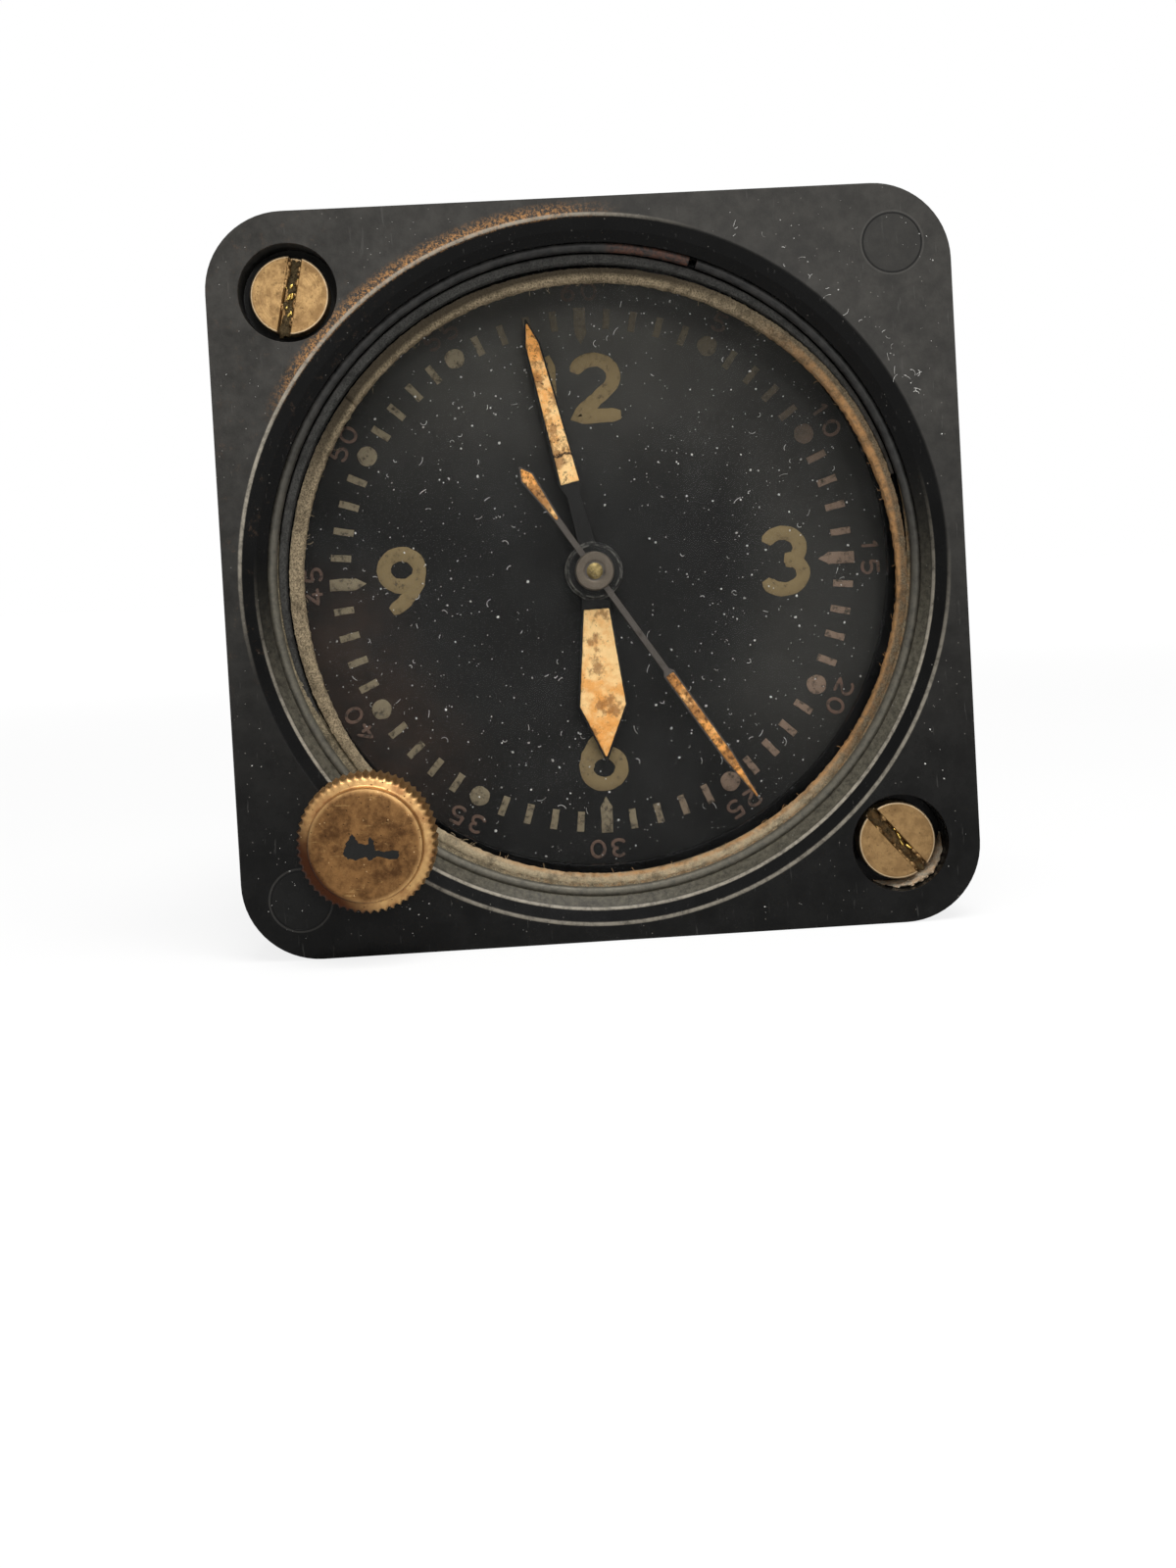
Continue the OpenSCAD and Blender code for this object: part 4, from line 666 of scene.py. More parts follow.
def softened(node, width, finish, segments):
    mesh = nodes[node].data.copy()
    mesh.name = node + "_soft"
    reworked(mesh, welded)
    obj = placed(node + "_soft", mesh)
    finish_piece(obj, body_of[node], finish, EDGE)
    bevel = obj.modifiers.new("soft edges", "BEVEL")
    bevel.width, bevel.segments = width * MM, segments
    bevel.limit_method, bevel.angle_limit = "ANGLE", EDGE
    bevel.harden_normals = True
    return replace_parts(obj, node)


for row in (("case_body", 0.22, MOULDING, 3), ("rear_cover", 0.3, REAR_MOULDING, 3),
            ("mounting_screws", 0.14, SCREW_BRASS, 3), ("rear_cover_screws", 0.08, DARK_STEEL, 2),
            ("movement_screws", 0.08, DARK_STEEL, 2), ("hour_hand", 0.04, HAND_PAINT, 2),
            ("minute_hand", 0.04, HAND_PAINT, 2), ("seconds_hand", 0.03, SWEEP_PAINT, 2)):
    softened(*row)

# %% [markdown]
# ## Strokes on the dial
# The figures were printed in thick luminous paint, so they stand a little proud and their
# edges waver. A text object would need a font file and gives razor edges. Here each figure
# is one or two bent strokes: a centre line in a box of height 1, swept with a low domed
# section. The nine is the six turned over.

# %% Figures as strokes
PRINT_H = 0.035
DOME = ((-1.0, 0.0), (-0.92, 0.75), (0.0, 1.0), (0.92, 0.75), (1.0, 0.0))


def arc(x, y, rx, ry, start, end, steps):
    turn = [math.radians(start + (end - start) * k / steps) for k in range(steps + 1)]
    return [(x + rx * math.cos(a), y + ry * math.sin(a)) for a in turn]


SIX = [(0.152, 0.928), (0.01, 0.823), (-0.109, 0.685), (-0.19, 0.53)]
SIX += arc(0, 0.333, 0.223, 0.235, 168, 528, 30)
STROKES = {
    "0": [arc(0, 0.5, 0.26, 0.41, 90, 450, 32)],
    "1": [[(-0.17, 0.72), (0.0, 0.91), (0.0, 0.09)]],
    "2": [arc(0, 0.66, 0.25, 0.25, 165, -42, 18) + [(-0.23, 0.09), (0.32, 0.09)]],
    "3": [arc(0, 0.69, 0.22, 0.22, 160, -84, 18), arc(0, 0.31, 0.25, 0.23, 86, -160, 20)],
    "4": [[(0.34, 0.33), (-0.28, 0.33), (0.1, 0.91)], [(0.1, 0.62), (0.1, 0.07)]],
    "5": [[(0.25, 0.91), (-0.17, 0.91), (-0.21, 0.55)]
          + arc(0.01, 0.33, 0.25, 0.25, 128, -150, 20)],
    "6": [SIX],
    "9": [[(-x, 1 - y) for x, y in SIX]],
}


def evenly(line, gap):
    """The same line with a point at least every gap."""
    out = [line[0]]
    for a, b in zip(line, line[1:]):
        parts = max(1, round(math.dist(a, b) / gap))
        out += [(a[0] + (b[0] - a[0]) * k / parts, a[1] + (b[1] - a[1]) * k / parts)
                for k in range(1, parts + 1)]
    return out


def across(line, k):
    """The direction to the left of a line at its point k."""
    (x0, y0), (x1, y1) = line[max(k - 1, 0)], line[min(k + 1, len(line) - 1)]
    length = math.hypot(x1 - x0, y1 - y0)
    return (y0 - y1) / length, (x1 - x0) / length


def stroke_shell(line, half, height):
    """A closed ribbon along line, with a domed top and, unless line is a loop, rounded ends."""
    run, points = [0.0], []
    for a, b in zip(line, line[1:]):
        run.append(run[-1] + math.dist(a, b))
    looped = math.dist(line[0], line[-1]) < half
    for k, (x, y) in enumerate(line):
        nx, ny = across(line, k)
        to_end = min(run[k], run[-1] - run[k])
        cap = 1.0 if looped else min(1.0, 0.6 + 0.4 * math.sqrt(to_end / half))
        wide = half * cap * (1 + 0.16 * wave(x * 2.1, y * 2.1, 3.7))
        points += [(x + nx * wide * s, y + ny * wide * s, DIAL + height * h) for s, h in DOME]
    return points, loft(len(line), len(DOME))


def digit_shells(text, centre, height, half, step, squeeze, turn=0.0):
    """Shells of a number whose middle is at centre, turned clockwise by turn degrees."""
    shells = []
    c, s = math.cos(math.radians(turn)), math.sin(math.radians(turn))
    for i, digit in enumerate(text):
        shift = (i - (len(text) - 1) / 2) * step * height
        for layer, stroke in enumerate(STROKES[digit]):
            flat = [(shift + height * squeeze * x, height * (y - 0.5)) for x, y in stroke]
            line = [(centre[0] + c * x + s * y, centre[1] - s * x + c * y) for x, y in flat]
            shells.append(stroke_shell(evenly(line, half * 0.6), half, PRINT_H * (1 + 0.1 * layer)))
    return shells


print("figures", "".join(STROKES))

# %% [markdown]
# ## The printed dial
# Large figures stand at the four quarters only. Pointed bars mark the quarters, round dots
# the other five-minute places and short ticks the minutes. Small figures count the minutes
# outside, with their tops outward. Each group is one raised mesh that rides on the case.

# %% Bars and dots
def bar_shell(angle, inner, outer, half, point=0.0):
    ux, uy = clock_point(1, angle)
    outline = [(outer, -half), (outer, half), (inner + point, half), (inner + point, -half)]
    if point:
        outline.insert(3, (inner, 0))
    outline = evenly(outline + outline[:1], 0.3)[:-1]
    low, top, mid = [], [], (inner + outer) / 2
    for r, w in outline:
        w *= 1 + 0.14 * wave(r * 2 + angle, w * 3, 1.3)
        low.append((ux * r + uy * w, uy * r - ux * w, DIAL))
        r, w = mid + (r - mid) * 0.96, w * 0.9
        top.append((ux * r + uy * w, uy * r - ux * w, DIAL + PRINT_H))
    return low + top, loft(2, len(outline))


def dot_shell(angle, radius, size, corners=20):
    centre, points = clock_point(radius, angle), []
    rows = ((1.0, 0.0), (0.93, 0.75), (0.5, 1.0))
    for share, height in rows:
        for a in full_turn(corners):
            r = size * share * (1 + 0.1 * wave(angle, 1.5 * math.cos(a), 1.5 * math.sin(a)))
            points.append((*polar(centre, r, a), DIAL + PRINT_H * height))
    return points, loft(len(rows), corners)


bars = [bar_shell(a, inner=19.2, outer=22.3, half=0.5, point=0.9) for a in (0, 90, 180, 270)]
ticks = [bar_shell(6 * m, inner=20.5, outer=22.2, half=0.29) for m in range(60) if m % 5]
dots = [dot_shell(30 * h, radius=21.4, size=0.84) for h in range(12) if h % 3]
print("bars", len(bars), "ticks", len(ticks), "dots", len(dots))

# %% Figures and the whole print
hours, minutes = [], []
for text, centre in (("12", (-1.0, 15.5)), ("3", (16.2, 0)), ("6", (0, -15.8)), ("9", (-16.2, 0))):
    hours += digit_shells(text, centre, height=5.8, half=0.6, step=0.66, squeeze=1.16)
for m in range(5, 65, 5):
    minutes += digit_shells(str(m), clock_point(23.65, 6 * m), height=1.65, half=0.13, step=1.08,
                            squeeze=1.3, turn=6 * m)
prints = (("hour_figures", hours, DIAL_LUME), ("quarter_bars", bars, RING_LUME),
          ("minute_ticks", ticks, RING_LUME), ("five_minute_dots", dots, RING_LUME),
          ("minute_figures", minutes, MINUTE_INK))
for name, shells, finish in prints:
    piece(name, *joined(shells), "case", "hand_lume", finish)
print("large figures", len(hours), "strokes, minute figures", len(minutes), "strokes")


# %% [markdown]
# ## Luminous paste in the hands
# The paste was laid into the skeleton hands with a brush: it bulges, its edge is ragged and
# it has cracked. A remeshed copy of each filling gives enough points, and noise moves them
# towards the viewer. The tops stay below the next hand so that nothing touches when they turn.

# %% Paste in the hands
VOXEL, TOP_LAYER, LIFT, BULGE, RAGGED = 0.08, 0.06, 0.035, 0.06, 0.03
noise.seed_set(5)  # without a seed, noise_vector starts from the time of day


def paste(node, finish):
    obj = placed(node + "_paste", nodes[node].data.copy())
    remesh = obj.modifiers.new("even", "REMESH")
    remesh.mode, remesh.voxel_size = "VOXEL", VOXEL * MM
    depsgraph = bpy.context.evaluated_depsgraph_get()
    fine = bpy.data.meshes.new_from_object(obj.evaluated_get(depsgraph))
    obj.modifiers.clear()
    obj.data = fine
    fine.name = obj.name
    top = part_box(node)[0][1]

    def bulged(bm):
        for v in bm.verts:
            if v.co.y < top + TOP_LAYER * MM:
                lump = noise.fractal(v.co / MM * 1.6, 0.8, 2.0, 4)
                v.co.y -= (LIFT + BULGE * max(-0.5, lump)) * MM
            else:
                v.co += RAGGED * MM * noise.noise_vector(v.co / MM * 3.0)

    reworked(fine, bulged)
    finish_piece(obj, body_of[node], finish)
    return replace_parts(obj, node)


for node, finish in (("hour_lume", HOUR_PASTE), ("minute_lume", MINUTE_PASTE),
                     ("seconds_lume", SWEEP_PASTE)):
    paste(node, finish)
    print(node, "pasted")


# %% [markdown]
# ## Rings by turning
# Many pieces are turned: a section swept round an axis. `turned` makes such a mesh from
# (radius, height) pairs and lets a function shift the radius or height at each angle, which
# gives knurls, frayed edges and dents from the same few lines.

# %% Turned pieces
def turned(section, around, centre=(0.0, 0.0), shape=None, closed=False):
    points, faces, rows = [], [], len(section)
    for a in full_turn(around):
        for row, (r, z) in enumerate(section):
            dr, dz = shape(row, a, r, z) if shape else (0.0, 0.0)
            points.append((*polar(centre, r + dr, a), z + dz))
    for k in range(around):
        a, b = k * rows, (k + 1) % around * rows
        faces += [(a + row, a + (row + 1) % rows, b + (row + 1) % rows, b + row)
                  for row in range(rows if closed else rows - 1)]
    if not closed:
        faces += [tuple(k * rows + end for k in range(around)) for end in (0, rows - 1)]
    return points, faces


print("turning works on", len(turned([(1, 0), (1, 1)], 8)[0]), "points of a test drum")

# %% [markdown]
# ## The winding knob
# The knob has a straight knurl of fine rounded ridges, worn lower where fingers slip, and a
# raised disc with a soft shoulder. The ridges are a cosine on the rim's rows. The disc's top
# keeps shallow dents. It replaces the plain solid and rides on the knob's body.

# %% Winding knob
KNOB_LOW, KNOB_TOP = back_of("winding_knob"), front_of("winding_knob")
RIM_TOP = KNOB_TOP - 0.8
KNURLS, KNURL_DEPTH, DENT, RIM_R, STEM_R = 56, 0.3, 0.02, 5.55, 0.95
under = [(0.05, 1.2), (STEM_R, 1.2), (STEM_R, 0), (4.9, 0), (5.2, 0.1), (5.46, 0.35), (RIM_R, 0.7)]
rim = [(RIM_R, -1.7), (RIM_R, -0.75), (5.47, -0.4), (5.25, -0.1), (5.0, 0), (4.72, 0), (4.6, 0.05),
       (4.52, 0.2)]
disc = [(4.5, -0.26), (4.42, -0.1), (4.22, -0.02), (3.9, -0.01), (3.0, -0.01), (2.0, -0.02),
        (1.0, -0.02), (0.05, -0.02)]
levels = ((KNOB_LOW, under), (RIM_TOP, rim), (KNOB_TOP, disc))
knob_section = [(r, level + z) for level, rows in levels for r, z in rows]
KNURL_ROWS = {4: 0.3, 5: 0.8, 6: 1.0, 7: 1.0, 8: 1.0, 9: 0.9, 10: 0.45}
FIRST_FLAT_ROW = 18


def knob_shape(row, a, r, z):
    depth = dent = 0.0
    if row in KNURL_ROWS:
        wear = 0.75 + 0.25 * wave(2 * math.cos(a), 2 * math.sin(a), z * 0.4)
        ridge = (0.5 - 0.5 * math.cos(KNURLS * a)) ** 0.7
        depth = -KNURL_DEPTH * KNURL_ROWS[row] * wear * ridge
    if row >= FIRST_FLAT_ROW:
        dent = -DENT * abs(wave(*polar((0, 0), r, a), 2.0))
    return depth, dent


knob = piece("winding_knob_turned", *turned(knob_section, 8 * KNURLS, KNOB_AT, knob_shape),
             "knob", "knob_brass", KNOB_BRASS)
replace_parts(knob, "winding_knob")
print("knob", KNURLS, "ridges, height", round(KNOB_TOP - KNOB_LOW, 2))

# %% [markdown]
# ## A paint remnant on the knob
# A jagged flake of black paint is left near the middle of the disc, with a thin streak to
# its right. It is a flat patch with a ragged outline, drawn as a few listed corners and
# roughened with noise, and it lies on the disc and rides with the knob.

# %% Paint remnant
def patch_shell(corners, z, height, rag):
    outline = evenly(corners + corners[:1], 0.12)[:-1]
    low, top = [], []
    mx, my = (sum(p[i] for p in outline) / len(outline) for i in (0, 1))
    for x, y in outline:
        x += rag * wave(x * 4, y * 4, 0.3)
        y += rag * wave(x * 4, y * 4, 8.3)
        low.append((x, y, z))
        top.append((x + (mx - x) * 0.03, y + (my - y) * 0.03, z + height))
    return low + top, loft(2, len(outline))


flake = [(-1.75, -0.65), (-1.5, 0.25), (-0.95, 1.0), (-0.75, 0.7), (-0.55, 0.25), (0.2, 0.15),
         (0.4, 0.7), (0.65, 0.5), (0.8, -0.4), (1.45, -0.55), (2.0, -0.5), (2.75, -0.6),
         (2.5, -1.2), (1.9, -1.15), (1.5, -1.0), (0.9, -0.85), (0.35, -1.25), (0.0, -0.95),
         (-0.8, -1.05), (-1.35, -0.9)]
flake = [(KNOB_AT[0] + x, KNOB_AT[1] + y) for x, y in flake]
piece("knob_paint_flake", *patch_shell(flake, KNOB_TOP - 0.06, height=0.055, rag=0.16),
      "knob", "hand_black", HAND_PAINT)
print("paint flake with", len(flake), "corners")

# %% [markdown]
# ## The fibre gasket
# The gasket is a strip of fibre on the glass, a little off centre, with a butt joint at the
# upper left and a frayed inner edge. It has been pressed outwards below and inwards above.
# It is turned with noise on every point, and loose fibres lie from its edge onto the glass.

# %% Gasket
GASKET_OUT = (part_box("glass_gasket")[1][0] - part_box("glass_gasket")[0][0]) / 2 / MM
GASKET_IN = GASKET_OUT - 1.25
GASKET_TOP = front_of("glass_gasket")
JOINT, JOINT_HALF = math.radians(90 - 308), 0.22
gasket_section = [
    (GASKET_IN, GLASS + 0.01), (GASKET_IN + 0.03, GASKET_TOP - 0.2),
    (GASKET_IN + 0.15, GASKET_TOP - 0.06), (GASKET_IN + 0.4, GASKET_TOP - 0.02),
    (GASKET_IN + 0.7, GASKET_TOP - 0.02), (GASKET_OUT - 0.3, GASKET_TOP - 0.03),
    (GASKET_OUT - 0.08, GASKET_TOP - 0.12), (GASKET_OUT, GLASS + 0.01),
]
PULL_OF_ROW = (1.0, 1.0, 1.0, 0.85, 0.6, 0.3, 0.15, 0.1)


def share_near(angle, middle, full, gone):
    """1 within full degrees of the middle angle, falling smoothly to 0 at gone."""
    away = abs(math.remainder(angle - middle, 360))
    t = min(1.0, max(0.0, (gone - away) / (gone - full)))
    return t * t * (3 - 2 * t)


def gasket_pull(a):
    """How far the strip is pressed outwards below, and inwards above, at angle a."""
    clock = 90 - math.degrees(a)
    return 0.42 * share_near(clock, 165, 62, 100) - 0.22 * share_near(clock, 12, 18, 48)


def gasket_shape(row, a, r, z):
    pull = gasket_pull(a)
    pull *= PULL_OF_ROW[row] if pull > 0 else 1.0
    at = Vector((*polar((0, 0), r, a), row * 0.7))
    ragged = 0.07 * noise.fractal(at * 2.2, 0.7, 2.1, 4)
    if row == 0:
        return pull + ragged, 0.0
    if row == len(gasket_section) - 1:
        return pull - abs(ragged), 0.0
    away = abs(math.remainder(a - JOINT, 2 * math.pi)) * r
    gap = max(0.0, 1 - away / JOINT_HALF)
    return pull + ragged, -0.09 * abs(noise.fractal(at * 1.7, 0.8, 2.0, 3)) - 0.3 * gap


gasket = piece("glass_gasket_frayed", *turned(gasket_section, 1080, GASKET_AT, gasket_shape, True),
               "case", "gasket_fibre", GASKET_FIBRE)
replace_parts(gasket, "glass_gasket")
print("gasket inside radius", round(GASKET_IN, 2))


# %% [markdown]
# ## Hairs, lint and dust
# Dust makes the age believable: pale specks and curled lint lie on the dial, some specks on
# the flange, and loose fibres on the gasket. Particle systems would export badly, so each
# kind is one small mesh from a seeded random generator. Every speck sits on its surface.

# %% Hairs and specks
def hair_shell(start, heading, length, thick, curl, z, steps=7):
    """A hair that lies on height z: a three-sided tube along a curling line."""
    x, y = start
    line, points = [], []
    for _ in range(steps):
        line.append((x, y))
        x, y = polar((x, y), length / steps, heading)
        heading += curl / steps
    for k, (x, y) in enumerate(line):
        nx, ny = across(line, k)
        points += [(x + nx * side, y + ny * side, z) for side in (thick, -thick)]
        points.append((x, y, z + 1.6 * thick))
    return points, loft(steps, 3)


def speck_shell(x, y, z, size, rng, corners=5):
    """A crumb with a few uneven corners that sits on height z."""
    turn = rng.uniform(0, 2 * math.pi)
    ring = [polar((x, y), size * rng.uniform(0.6, 1.25), turn + a) for a in full_turn(corners)]
    low = [(px, py, z) for px, py in ring]
    mid = [(x + (px - x) * 0.7, y + (py - y) * 0.7, z + size * 0.55) for px, py in ring]
    return low + mid, loft(2, corners)


def spot_in_ring(rng, inner, outer):
    r, a = math.sqrt(rng.uniform(inner ** 2, outer ** 2)), rng.uniform(0, 360)
    return clock_point(r, a)


print("hair and crumb makers ready")

# %% Loose fibres on the gasket
rng = random.Random(41)
fibres = []
for _ in range(90):
    a = rng.uniform(0, 2 * math.pi)
    start = polar(GASKET_AT, GASKET_IN + gasket_pull(a) + rng.uniform(-0.1, 0.25), a)
    heading, length = a + math.pi + rng.uniform(-1.3, 1.3), rng.uniform(0.25, 0.7)
    fibres.append(hair_shell(start, heading, length, 0.022, rng.uniform(-2, 2), GLASS + 0.002))
piece("gasket_loose_fibres", *joined(fibres), "case", "gasket_fibre", GASKET_FIBRE)
print("loose fibres", len(fibres))

# %% Dust and lint on the dial and the flange
def pale_dust():
    f = Finish("pale_dust", Specular_IOR_Level=0.1)
    cloud = f.noise(0.9, 4, 0.7)
    skin = f.blend(f.span(cloud, 0.35, 0.7), (0.78, 0.77, 0.73), (0.22, 0.21, 0.19))
    return f.wire(Base_Color=skin, Roughness=f.span(cloud, 0.2, 0.8, 0.85, 0.97))


def on_flange(x, y):
    free = math.hypot(x, y) > OPENING + 0.6 and math.dist((x, y), KNOB_AT) > 1.5
    return free and all(math.dist((x, y), s) > 4.3 for s in SCREWS_AT) and abs(x) + abs(y) < 55


PALE_DUST = pale_dust()
ANY_WAY = 6.3
rng = random.Random(7)
dial_specks = [speck_shell(*spot_in_ring(rng, 5.5, 24.6), DIAL, 0.034 + 0.1 * rng.random() ** 5,
                           rng) for _ in range(1050)]
lint = [hair_shell(spot_in_ring(rng, 6.5, 23.0), rng.uniform(0, ANY_WAY), rng.uniform(0.25, 1.0),
                   0.02, rng.uniform(-4, 4), DIAL) for _ in range(120)]
spots = [(rng.uniform(-29, 29), rng.uniform(-29, 29)) for _ in range(1000)]
flange_specks = [speck_shell(x, y, FACE, 0.025 + 0.06 * rng.random() ** 4, rng)
                 for x, y in spots if on_flange(x, y)]
edge_lint = [hair_shell(clock_point(rng.uniform(OPENING + 0.3, OPENING + 1.8), rng.uniform(24, 66)),
                        rng.uniform(0, ANY_WAY), rng.uniform(0.3, 0.9), 0.018,
                        rng.uniform(-3, 3), FACE) for _ in range(26)]
for name, shells in (("dial_dust", dial_specks), ("dial_lint", lint),
                     ("flange_dust", flange_specks + edge_lint)):
    piece(name, *joined(shells), "case", "gasket_fibre", PALE_DUST)
print("dial specks", len(dial_specks), "lint", len(lint), "flange specks", len(flange_specks))

# %% [markdown]
# ## Marks on the flange and dirt in the screws
# The moulding tool left two faint circles in the free corners. A screwdriver has chewed the
# slots and left bright burrs. Tan residue fills the lower part of one counterbore, partly dirt
# and partly painted light where its lower wall is lit. Dirt is packed along the lower half of
# the rim between gasket and wire, and above it lies a band of grey dust that is partly a
# painted highlight of the wire. All are small, low meshes.

# %% Moulding circles
ridge = ((-0.07, -0.02), (-0.03, 0.02), (0.03, 0.02), (0.07, -0.02))
ridge = [(MARK_R + dr, FACE + z) for dr, z in ridge]
for name, centre in zip(("upper_right", "lower_left"), MOULD_MARKS):
    piece("moulding_circle_" + name, *turned(ridge, 96, centre, closed=True),
          "case", "black_phenolic", MOULDING)
print("moulding circles", len(MOULD_MARKS))

# %% Burrs and grime in the slots
SCREW_TOP = front_of("mounting_screws")
SLOT_TURNS = [math.radians(turn) for turn in (78, -50)]


def lump_shell(x, y, z, size, long, turn, rng, corners=7):
    """A burr: an uneven low lump, longer along turn."""
    c, s = math.cos(turn), math.sin(turn)
    points, rows = [], ((1.0, 0.0), (0.8, 0.55), (0.35, 0.9))
    for share, height in rows:
        for a in full_turn(corners):
            r = size * share * rng.uniform(0.75, 1.2)
            u, v = r * long * math.cos(a), r * math.sin(a)
            points.append((x + u * c - v * s, y + u * s + v * c, z + size * height))
    return points, loft(len(rows), corners)


def along_slot(k, along, side):
    (x, y), c, s = SCREWS_AT[k], math.cos(SLOT_TURNS[k]), math.sin(SLOT_TURNS[k])
    return x + along * c - side * s, y + along * s + side * c


rng = random.Random(23)
chewed, glints, grime = [], [], []
for k, (chews, bright) in enumerate(((26, 9), (14, 5))):
    t = SLOT_TURNS[k]
    for _ in range(chews):
        spot = along_slot(k, rng.uniform(-2.8, 2.8), rng.choice((-1, 1)) * rng.uniform(0.4, 0.54))
        size = rng.uniform(0.1, 0.24)
        low = SCREW_TOP - 0.9 * size
        chewed.append(lump_shell(*spot, low, size, rng.uniform(1.2, 2.4), t, rng))
    for _ in range(bright):
        spot = along_slot(k, rng.uniform(-1.9, 1.9), rng.uniform(-0.5, 0.5))
        glints.append(lump_shell(*spot, SCREW_TOP - rng.uniform(0.15, 0.5), rng.uniform(0.06, 0.15),
                                 rng.uniform(1.2, 4.0), t + rng.uniform(-0.4, 0.4), rng))
    for _ in range(46):
        spot = along_slot(k, rng.uniform(-2.9, 2.9), rng.uniform(-0.3, 0.3))
        grime.append(lump_shell(*spot, SCREW_TOP - 0.93, rng.uniform(0.2, 0.4),
                                rng.uniform(1, 2), t, rng))
SLOT_GRIME = fibre("olive_slot_grime", (0.2, 0.145, 0.07), (0.06, 0.042, 0.022))
piece("screw_slot_chewed_edges", *joined(chewed), "case", "screw_brass", SCREW_BRASS)
piece("screw_slot_glints", *joined(glints), "case", "screw_brass", BRIGHT_BRASS)
piece("screw_slot_grime", *joined(grime), "case", "gasket_fibre", SLOT_GRIME)
print("chewed edges", len(chewed), "glints", len(glints), "grime", len(grime))

# %% Dirt and painted light in a screw hole and in the rim
def dirt_arc(centre, start, end, section, base, rise, steps, full):
    """A heap along an arc, for dirt and for bands that are partly painted light: section is
    (radius, share of the rise). It thins out to its outer radius at both ends, and full says how
    blunt these are."""
    points, outer = [], section[-1][0]
    for k in range(steps):
        share = k / (steps - 1)
        a = math.radians(start + (end - start) * share)
        high = max(0.05, math.sin(math.pi * share)) ** full
        for r, h in section:
            rough = 1 + 0.25 * wave(a * 2.5 * r, r * 3, 1.0)
            spot = polar(centre, outer - (outer - r) * high, a)
            points.append((*spot, base + rise * h * high * rough))
    return points, loft(steps, len(section))


RESIDUE_AND_LIT_WALL = fibre("pale_residue_and_lit_wall", (0.62, 0.55, 0.43), (0.3, 0.25, 0.18))
PACKED_DIRT = fibre("packed_rim_dirt", (0.34, 0.28, 0.18), (0.085, 0.07, 0.047))
GREY_DUST_AND_HIGHLIGHT = fibre("grey_rim_dust_and_highlight", (0.072, 0.07, 0.064), (0.024, 0.0235, 0.022))
hole_section = ((3.4, 0.0), (3.5, 0.6), (3.75, 0.95), (3.9, 0.9), (3.95, 0.0))
rim_section = ((25.0, 0.0), (25.3, 0.7), (25.75, 0.82), (26.1, 1.0), (26.3, 0.95), (26.35, 0.0))
dust_section = ((25.05, 0.0), (25.2, 0.75), (25.5, 1.0), (25.85, 0.9), (26.0, 0.0))
# pale residue in the lower screw's counterbore: partly dirt, partly painted light on its lit lower
# wall
hole_residue_and_light = dirt_arc(SCREWS_AT[1], -118, 4, hole_section, SCREW_TOP - 1.95, rise=2.5, steps=60,
                     full=0.6)
rim_dirt = dirt_arc((0, 0), 22, -200, rim_section, GLASS + 0.01, rise=0.56, steps=420, full=0.8)
# grey band round the upper left: partly dust, partly a painted highlight of the wire
rim_dust_and_highlight = dirt_arc((0, 0), 215, 15, dust_section, GLASS + 0.01, rise=0.42, steps=380, full=0.35)
for name, shell, finish in (("screw_hole_residue_and_light", hole_residue_and_light, RESIDUE_AND_LIT_WALL),
                            ("rim_packed_dirt", rim_dirt, PACKED_DIRT),
                            ("rim_grey_dust_and_highlight", rim_dust_and_highlight, GREY_DUST_AND_HIGHLIGHT)):
    piece(name, *shell, "case", "gasket_fibre", finish)
    print(name, len(shell[0]), "points")

# %% [markdown]
# ## Threads behind the flange
# The two screws stand out behind the flange, ready for the panel. Their threads are left
# plain in the construction model, so here a thin ridge winds round each one as a helix.

# %% Threads
THREAD_R, CREST, PITCH, ROOT_SINK = 1.6, 0.13, 0.79, 0.04
THREAD_START, THREAD_END = -0.5, back_of("mounting_screws")


def thread_shell(centre, end, steps=40, fade_steps=20):
    """A ridge from the thread's start to end, fading in and out."""
    points, count = [], int((THREAD_START - end) / PITCH * steps)
    for k in range(count + 1):
        a, z = 2 * math.pi * k / steps, THREAD_START - PITCH * k / steps
        crest = THREAD_R + CREST * min(1.0, k / fade_steps, (count - k) / fade_steps)
        root = THREAD_R - ROOT_SINK
        for r, dz in ((root, 0.3), (crest, 0.05), (crest, -0.05), (root, -0.3)):
            points.append((*polar(centre, r, a), z + dz * PITCH))
    return points, loft(count + 1, 4)


threads = [thread_shell(centre, THREAD_END + 0.5) for centre in SCREWS_AT]
piece("mounting_screw_threads", *joined(threads), "case", "screw_brass", SCREW_BRASS)
print("threads to", round(THREAD_END, 2))

# %% [markdown]
# ## The hub of the seconds hand
# The sweep hand sits on a grey steel bush with a small brass rivet head in it. Both are
# turned, lie on the hand and turn with it. They stay under the glass.

# %% Hub of the seconds hand
HUB = front_of("seconds_hand")
GREY_STEEL = metal("grey_bush_steel", (0.12, 0.1, 0.078), (0.06, 0.048, 0.036), 0.1, 0.42)
RIVET_BRASS = metal("dark_rivet_brass", (0.34, 0.26, 0.11), (0.12, 0.09, 0.04), 0.25, 0.4)
bush = ((0.5, -0.36), (1.56, -0.36), (1.62, -0.24), (1.62, -0.05), (1.54, 0.03), (1.0, 0.05),
        (0.85, 0.02), (0.76, -0.06), (0.5, -0.06))
rivet = ((0.02, -0.2), (0.66, -0.2), (0.68, 0.02), (0.6, 0.09), (0.38, 0.12), (0.2, 0.1),
         (0.02, 0.1))
bush, rivet = ([(r, HUB + z) for r, z in section] for section in (bush, rivet))
piece("seconds_bush", *turned(bush, 64, closed=True), "seconds", "bright_steel", GREY_STEEL)
piece("seconds_rivet", *turned(rivet, 48), "seconds", "wheel_brass", RIVET_BRASS)
print("hub top", round(max(z for r, z in rivet), 2), "glass back", round(back_of("glass"), 2))

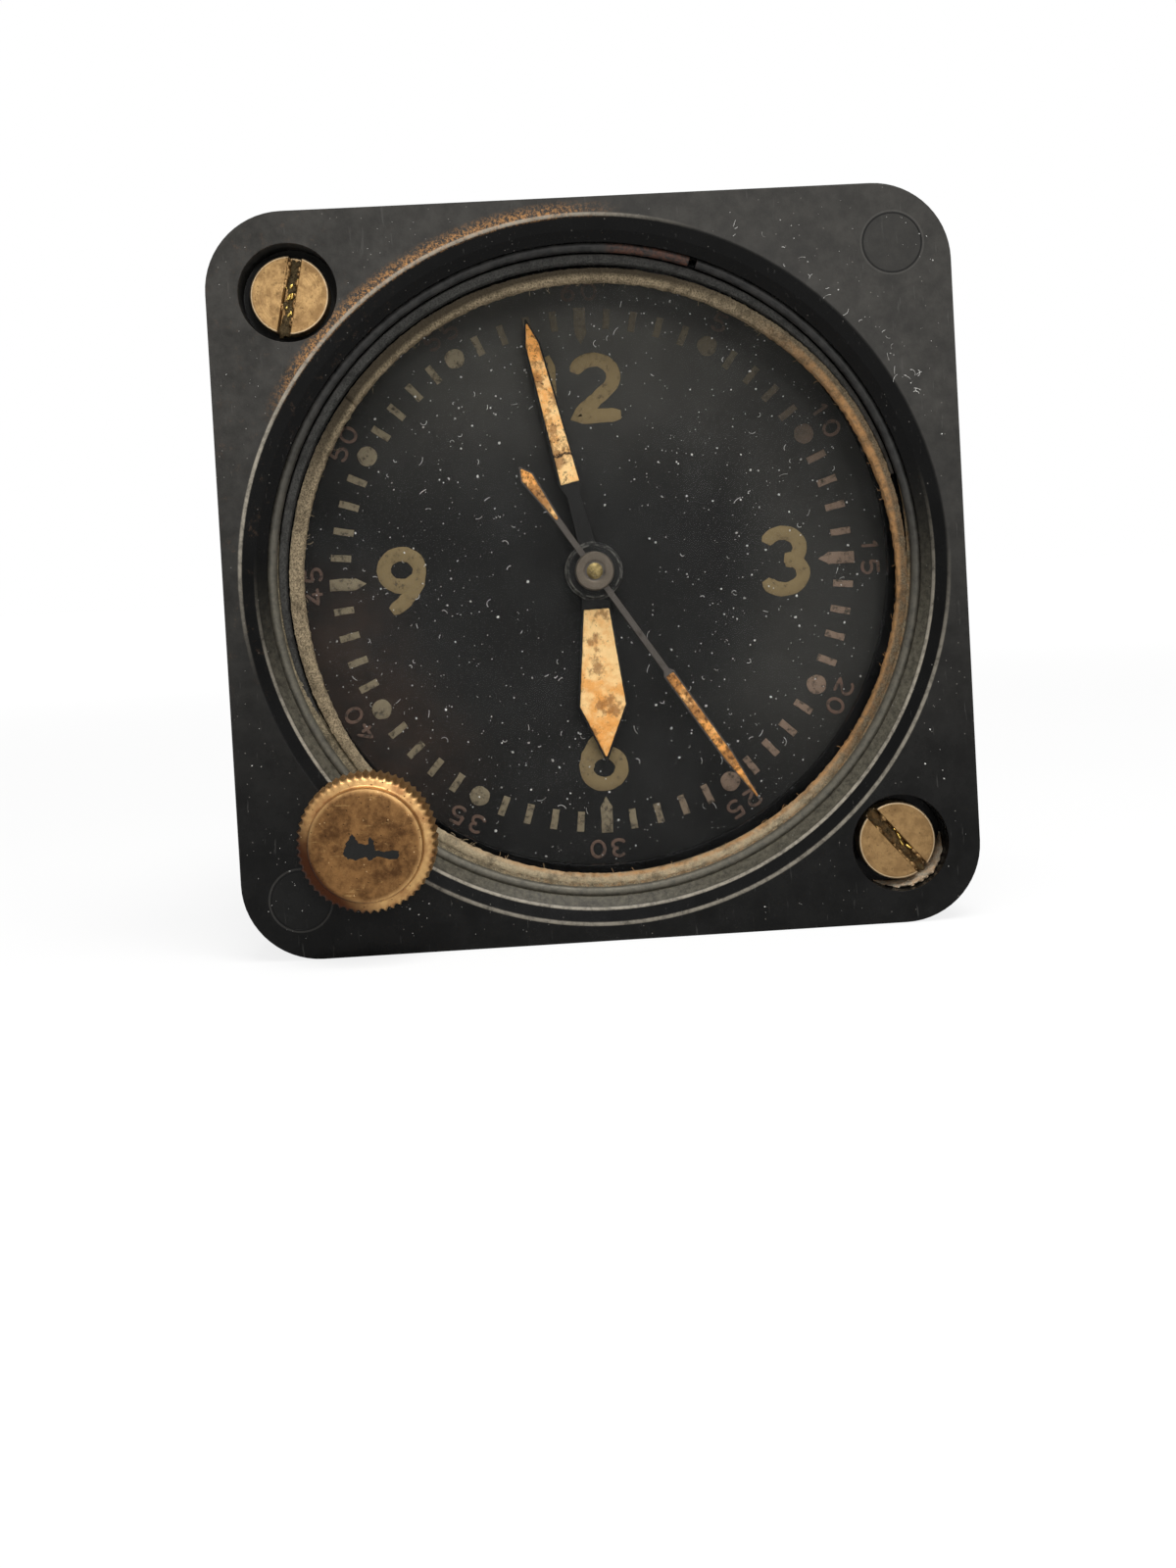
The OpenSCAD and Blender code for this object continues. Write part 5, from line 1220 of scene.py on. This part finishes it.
# %% [markdown]
# ## Floor, light and camera
# The clock stands on a pale floor before white. The floor is part plain paint, so it keeps
# the shadow, and part white glow that only the camera sees, directly or through the glass. The
# world is white to the camera and gentle to the object; what shiny parts mirror grows darker
# downwards, as in a room with one high window. A broad lamp above is the key, and a small one
# further in front draws thin bright lines along the rounded edges.

# %% Floor
FLOOR_Z = cad_box[0][2] - 0.04 * MM
floor_mesh = bpy.data.meshes.new("floor")
corners = [(x, y, FLOOR_Z) for x, y in ((-6, -3), (6, -3), (6, 9), (-6, 9))]
floor_mesh.from_pydata(corners, [], [(0, 1, 2, 3)])
floor = placed("floor", floor_mesh)
paint = bpy.data.materials.new("pale_floor")
paint.use_nodes = True
paint.node_tree.nodes.clear()
add = net(paint.node_tree)
rays = add("ShaderNodeLightPath")
middle = {0: add("ShaderNodeTexCoord")["Object"]}
away = add("ShaderNodeVectorMath", middle, operation="LENGTH")["Value"]
near = add("ShaderNodeMapRange", {"Value": away, "From Min": 0.12, "From Max": 0.6,
                                  "To Min": 0.78, "To Max": 0.96})["Result"]
seen = {0: rays["Is Camera Ray"], 1: rays["Is Transmission Ray"]}
seen = add("ShaderNodeMath", seen, operation="MAXIMUM")[0]
share = add("ShaderNodeMath", {0: seen, 1: near}, operation="MULTIPLY")[0]
tints = {0: add("ShaderNodeTexNoise", {"Scale": 60})["Fac"],
         6: (0.86, 0.86, 0.855, 1), 7: (0.92, 0.92, 0.915, 1)}
tint = add("ShaderNodeMix", tints, data_type="RGBA")[2]
diffuse = add("ShaderNodeBsdfDiffuse", {"Color": tint})[0]
glow = add("ShaderNodeEmission", {"Strength": 1.06})[0]
mix = add("ShaderNodeMixShader", {0: share, 1: diffuse, 2: glow})[0]
add("ShaderNodeOutputMaterial", {"Surface": mix})
floor_mesh.materials.append(paint)
print("floor at", round(1000 * FLOOR_Z, 2), "mm")

# %% World
SOFT_LEVEL, WHITE = 0.3, 1.0
scene = bpy.context.scene
scene.view_settings.view_transform = "Standard"
room = bpy.data.worlds.new("soft_room")
room.use_nodes = True
scene.world = room
room.node_tree.nodes.clear()
add = net(room.node_tree)
rays = add("ShaderNodeLightPath")
up = add("ShaderNodeSeparateXYZ", {0: add("ShaderNodeTexCoord")["Generated"]})[2]
mirror = add("ShaderNodeMapRange", {"Value": up, "From Min": -0.3, "From Max": 0.35,
                                    "To Min": 0.1, "To Max": 0.85})["Result"]
level = SOFT_LEVEL
for ray, other in (("Glossy", mirror), ("Transmission", WHITE), ("Camera", WHITE)):
    level = add("ShaderNodeMix", {0: rays["Is " + ray + " Ray"], 2: level, 3: other})[0]
sky = add("ShaderNodeBackground", {"Color": (1, 1, 1, 1), "Strength": level})[0]
add("ShaderNodeOutputWorld", {"Surface": sky})
print("world level", SOFT_LEVEL)

# %% Lamps
def soft_lamp(name, watts, size, place):
    light = bpy.data.lights.new(name, "AREA")
    light.energy, light.size = watts, size
    lamp = placed(name, light)
    lamp.location = place
    lamp.rotation_euler = (-lamp.location).to_track_quat("-Z", "Y").to_euler()
    print(name, watts, "W at", place)


soft_lamp("high_window", 2.3, 0.32, (0.07, -0.24, 0.46))
soft_lamp("front_lamp", 0.5, 0.07, (0.08, -0.55, 0.14))

# %% Camera
lens = bpy.data.cameras.new("camera")
lens.lens, lens.sensor_width, lens.sensor_fit = 42.3, 36, "AUTO"
lens.shift_y, lens.clip_start = -0.1, 0.01
camera = placed("camera", lens)
camera.location = (-6.9 * MM, -160.29 * MM, -0.65 * MM)
camera.rotation_euler = tuple(math.radians(v) for v in (88.505, 3.172, -2.346))
scene.camera = camera
print("camera", [round(1000 * v, 1) for v in camera.location])
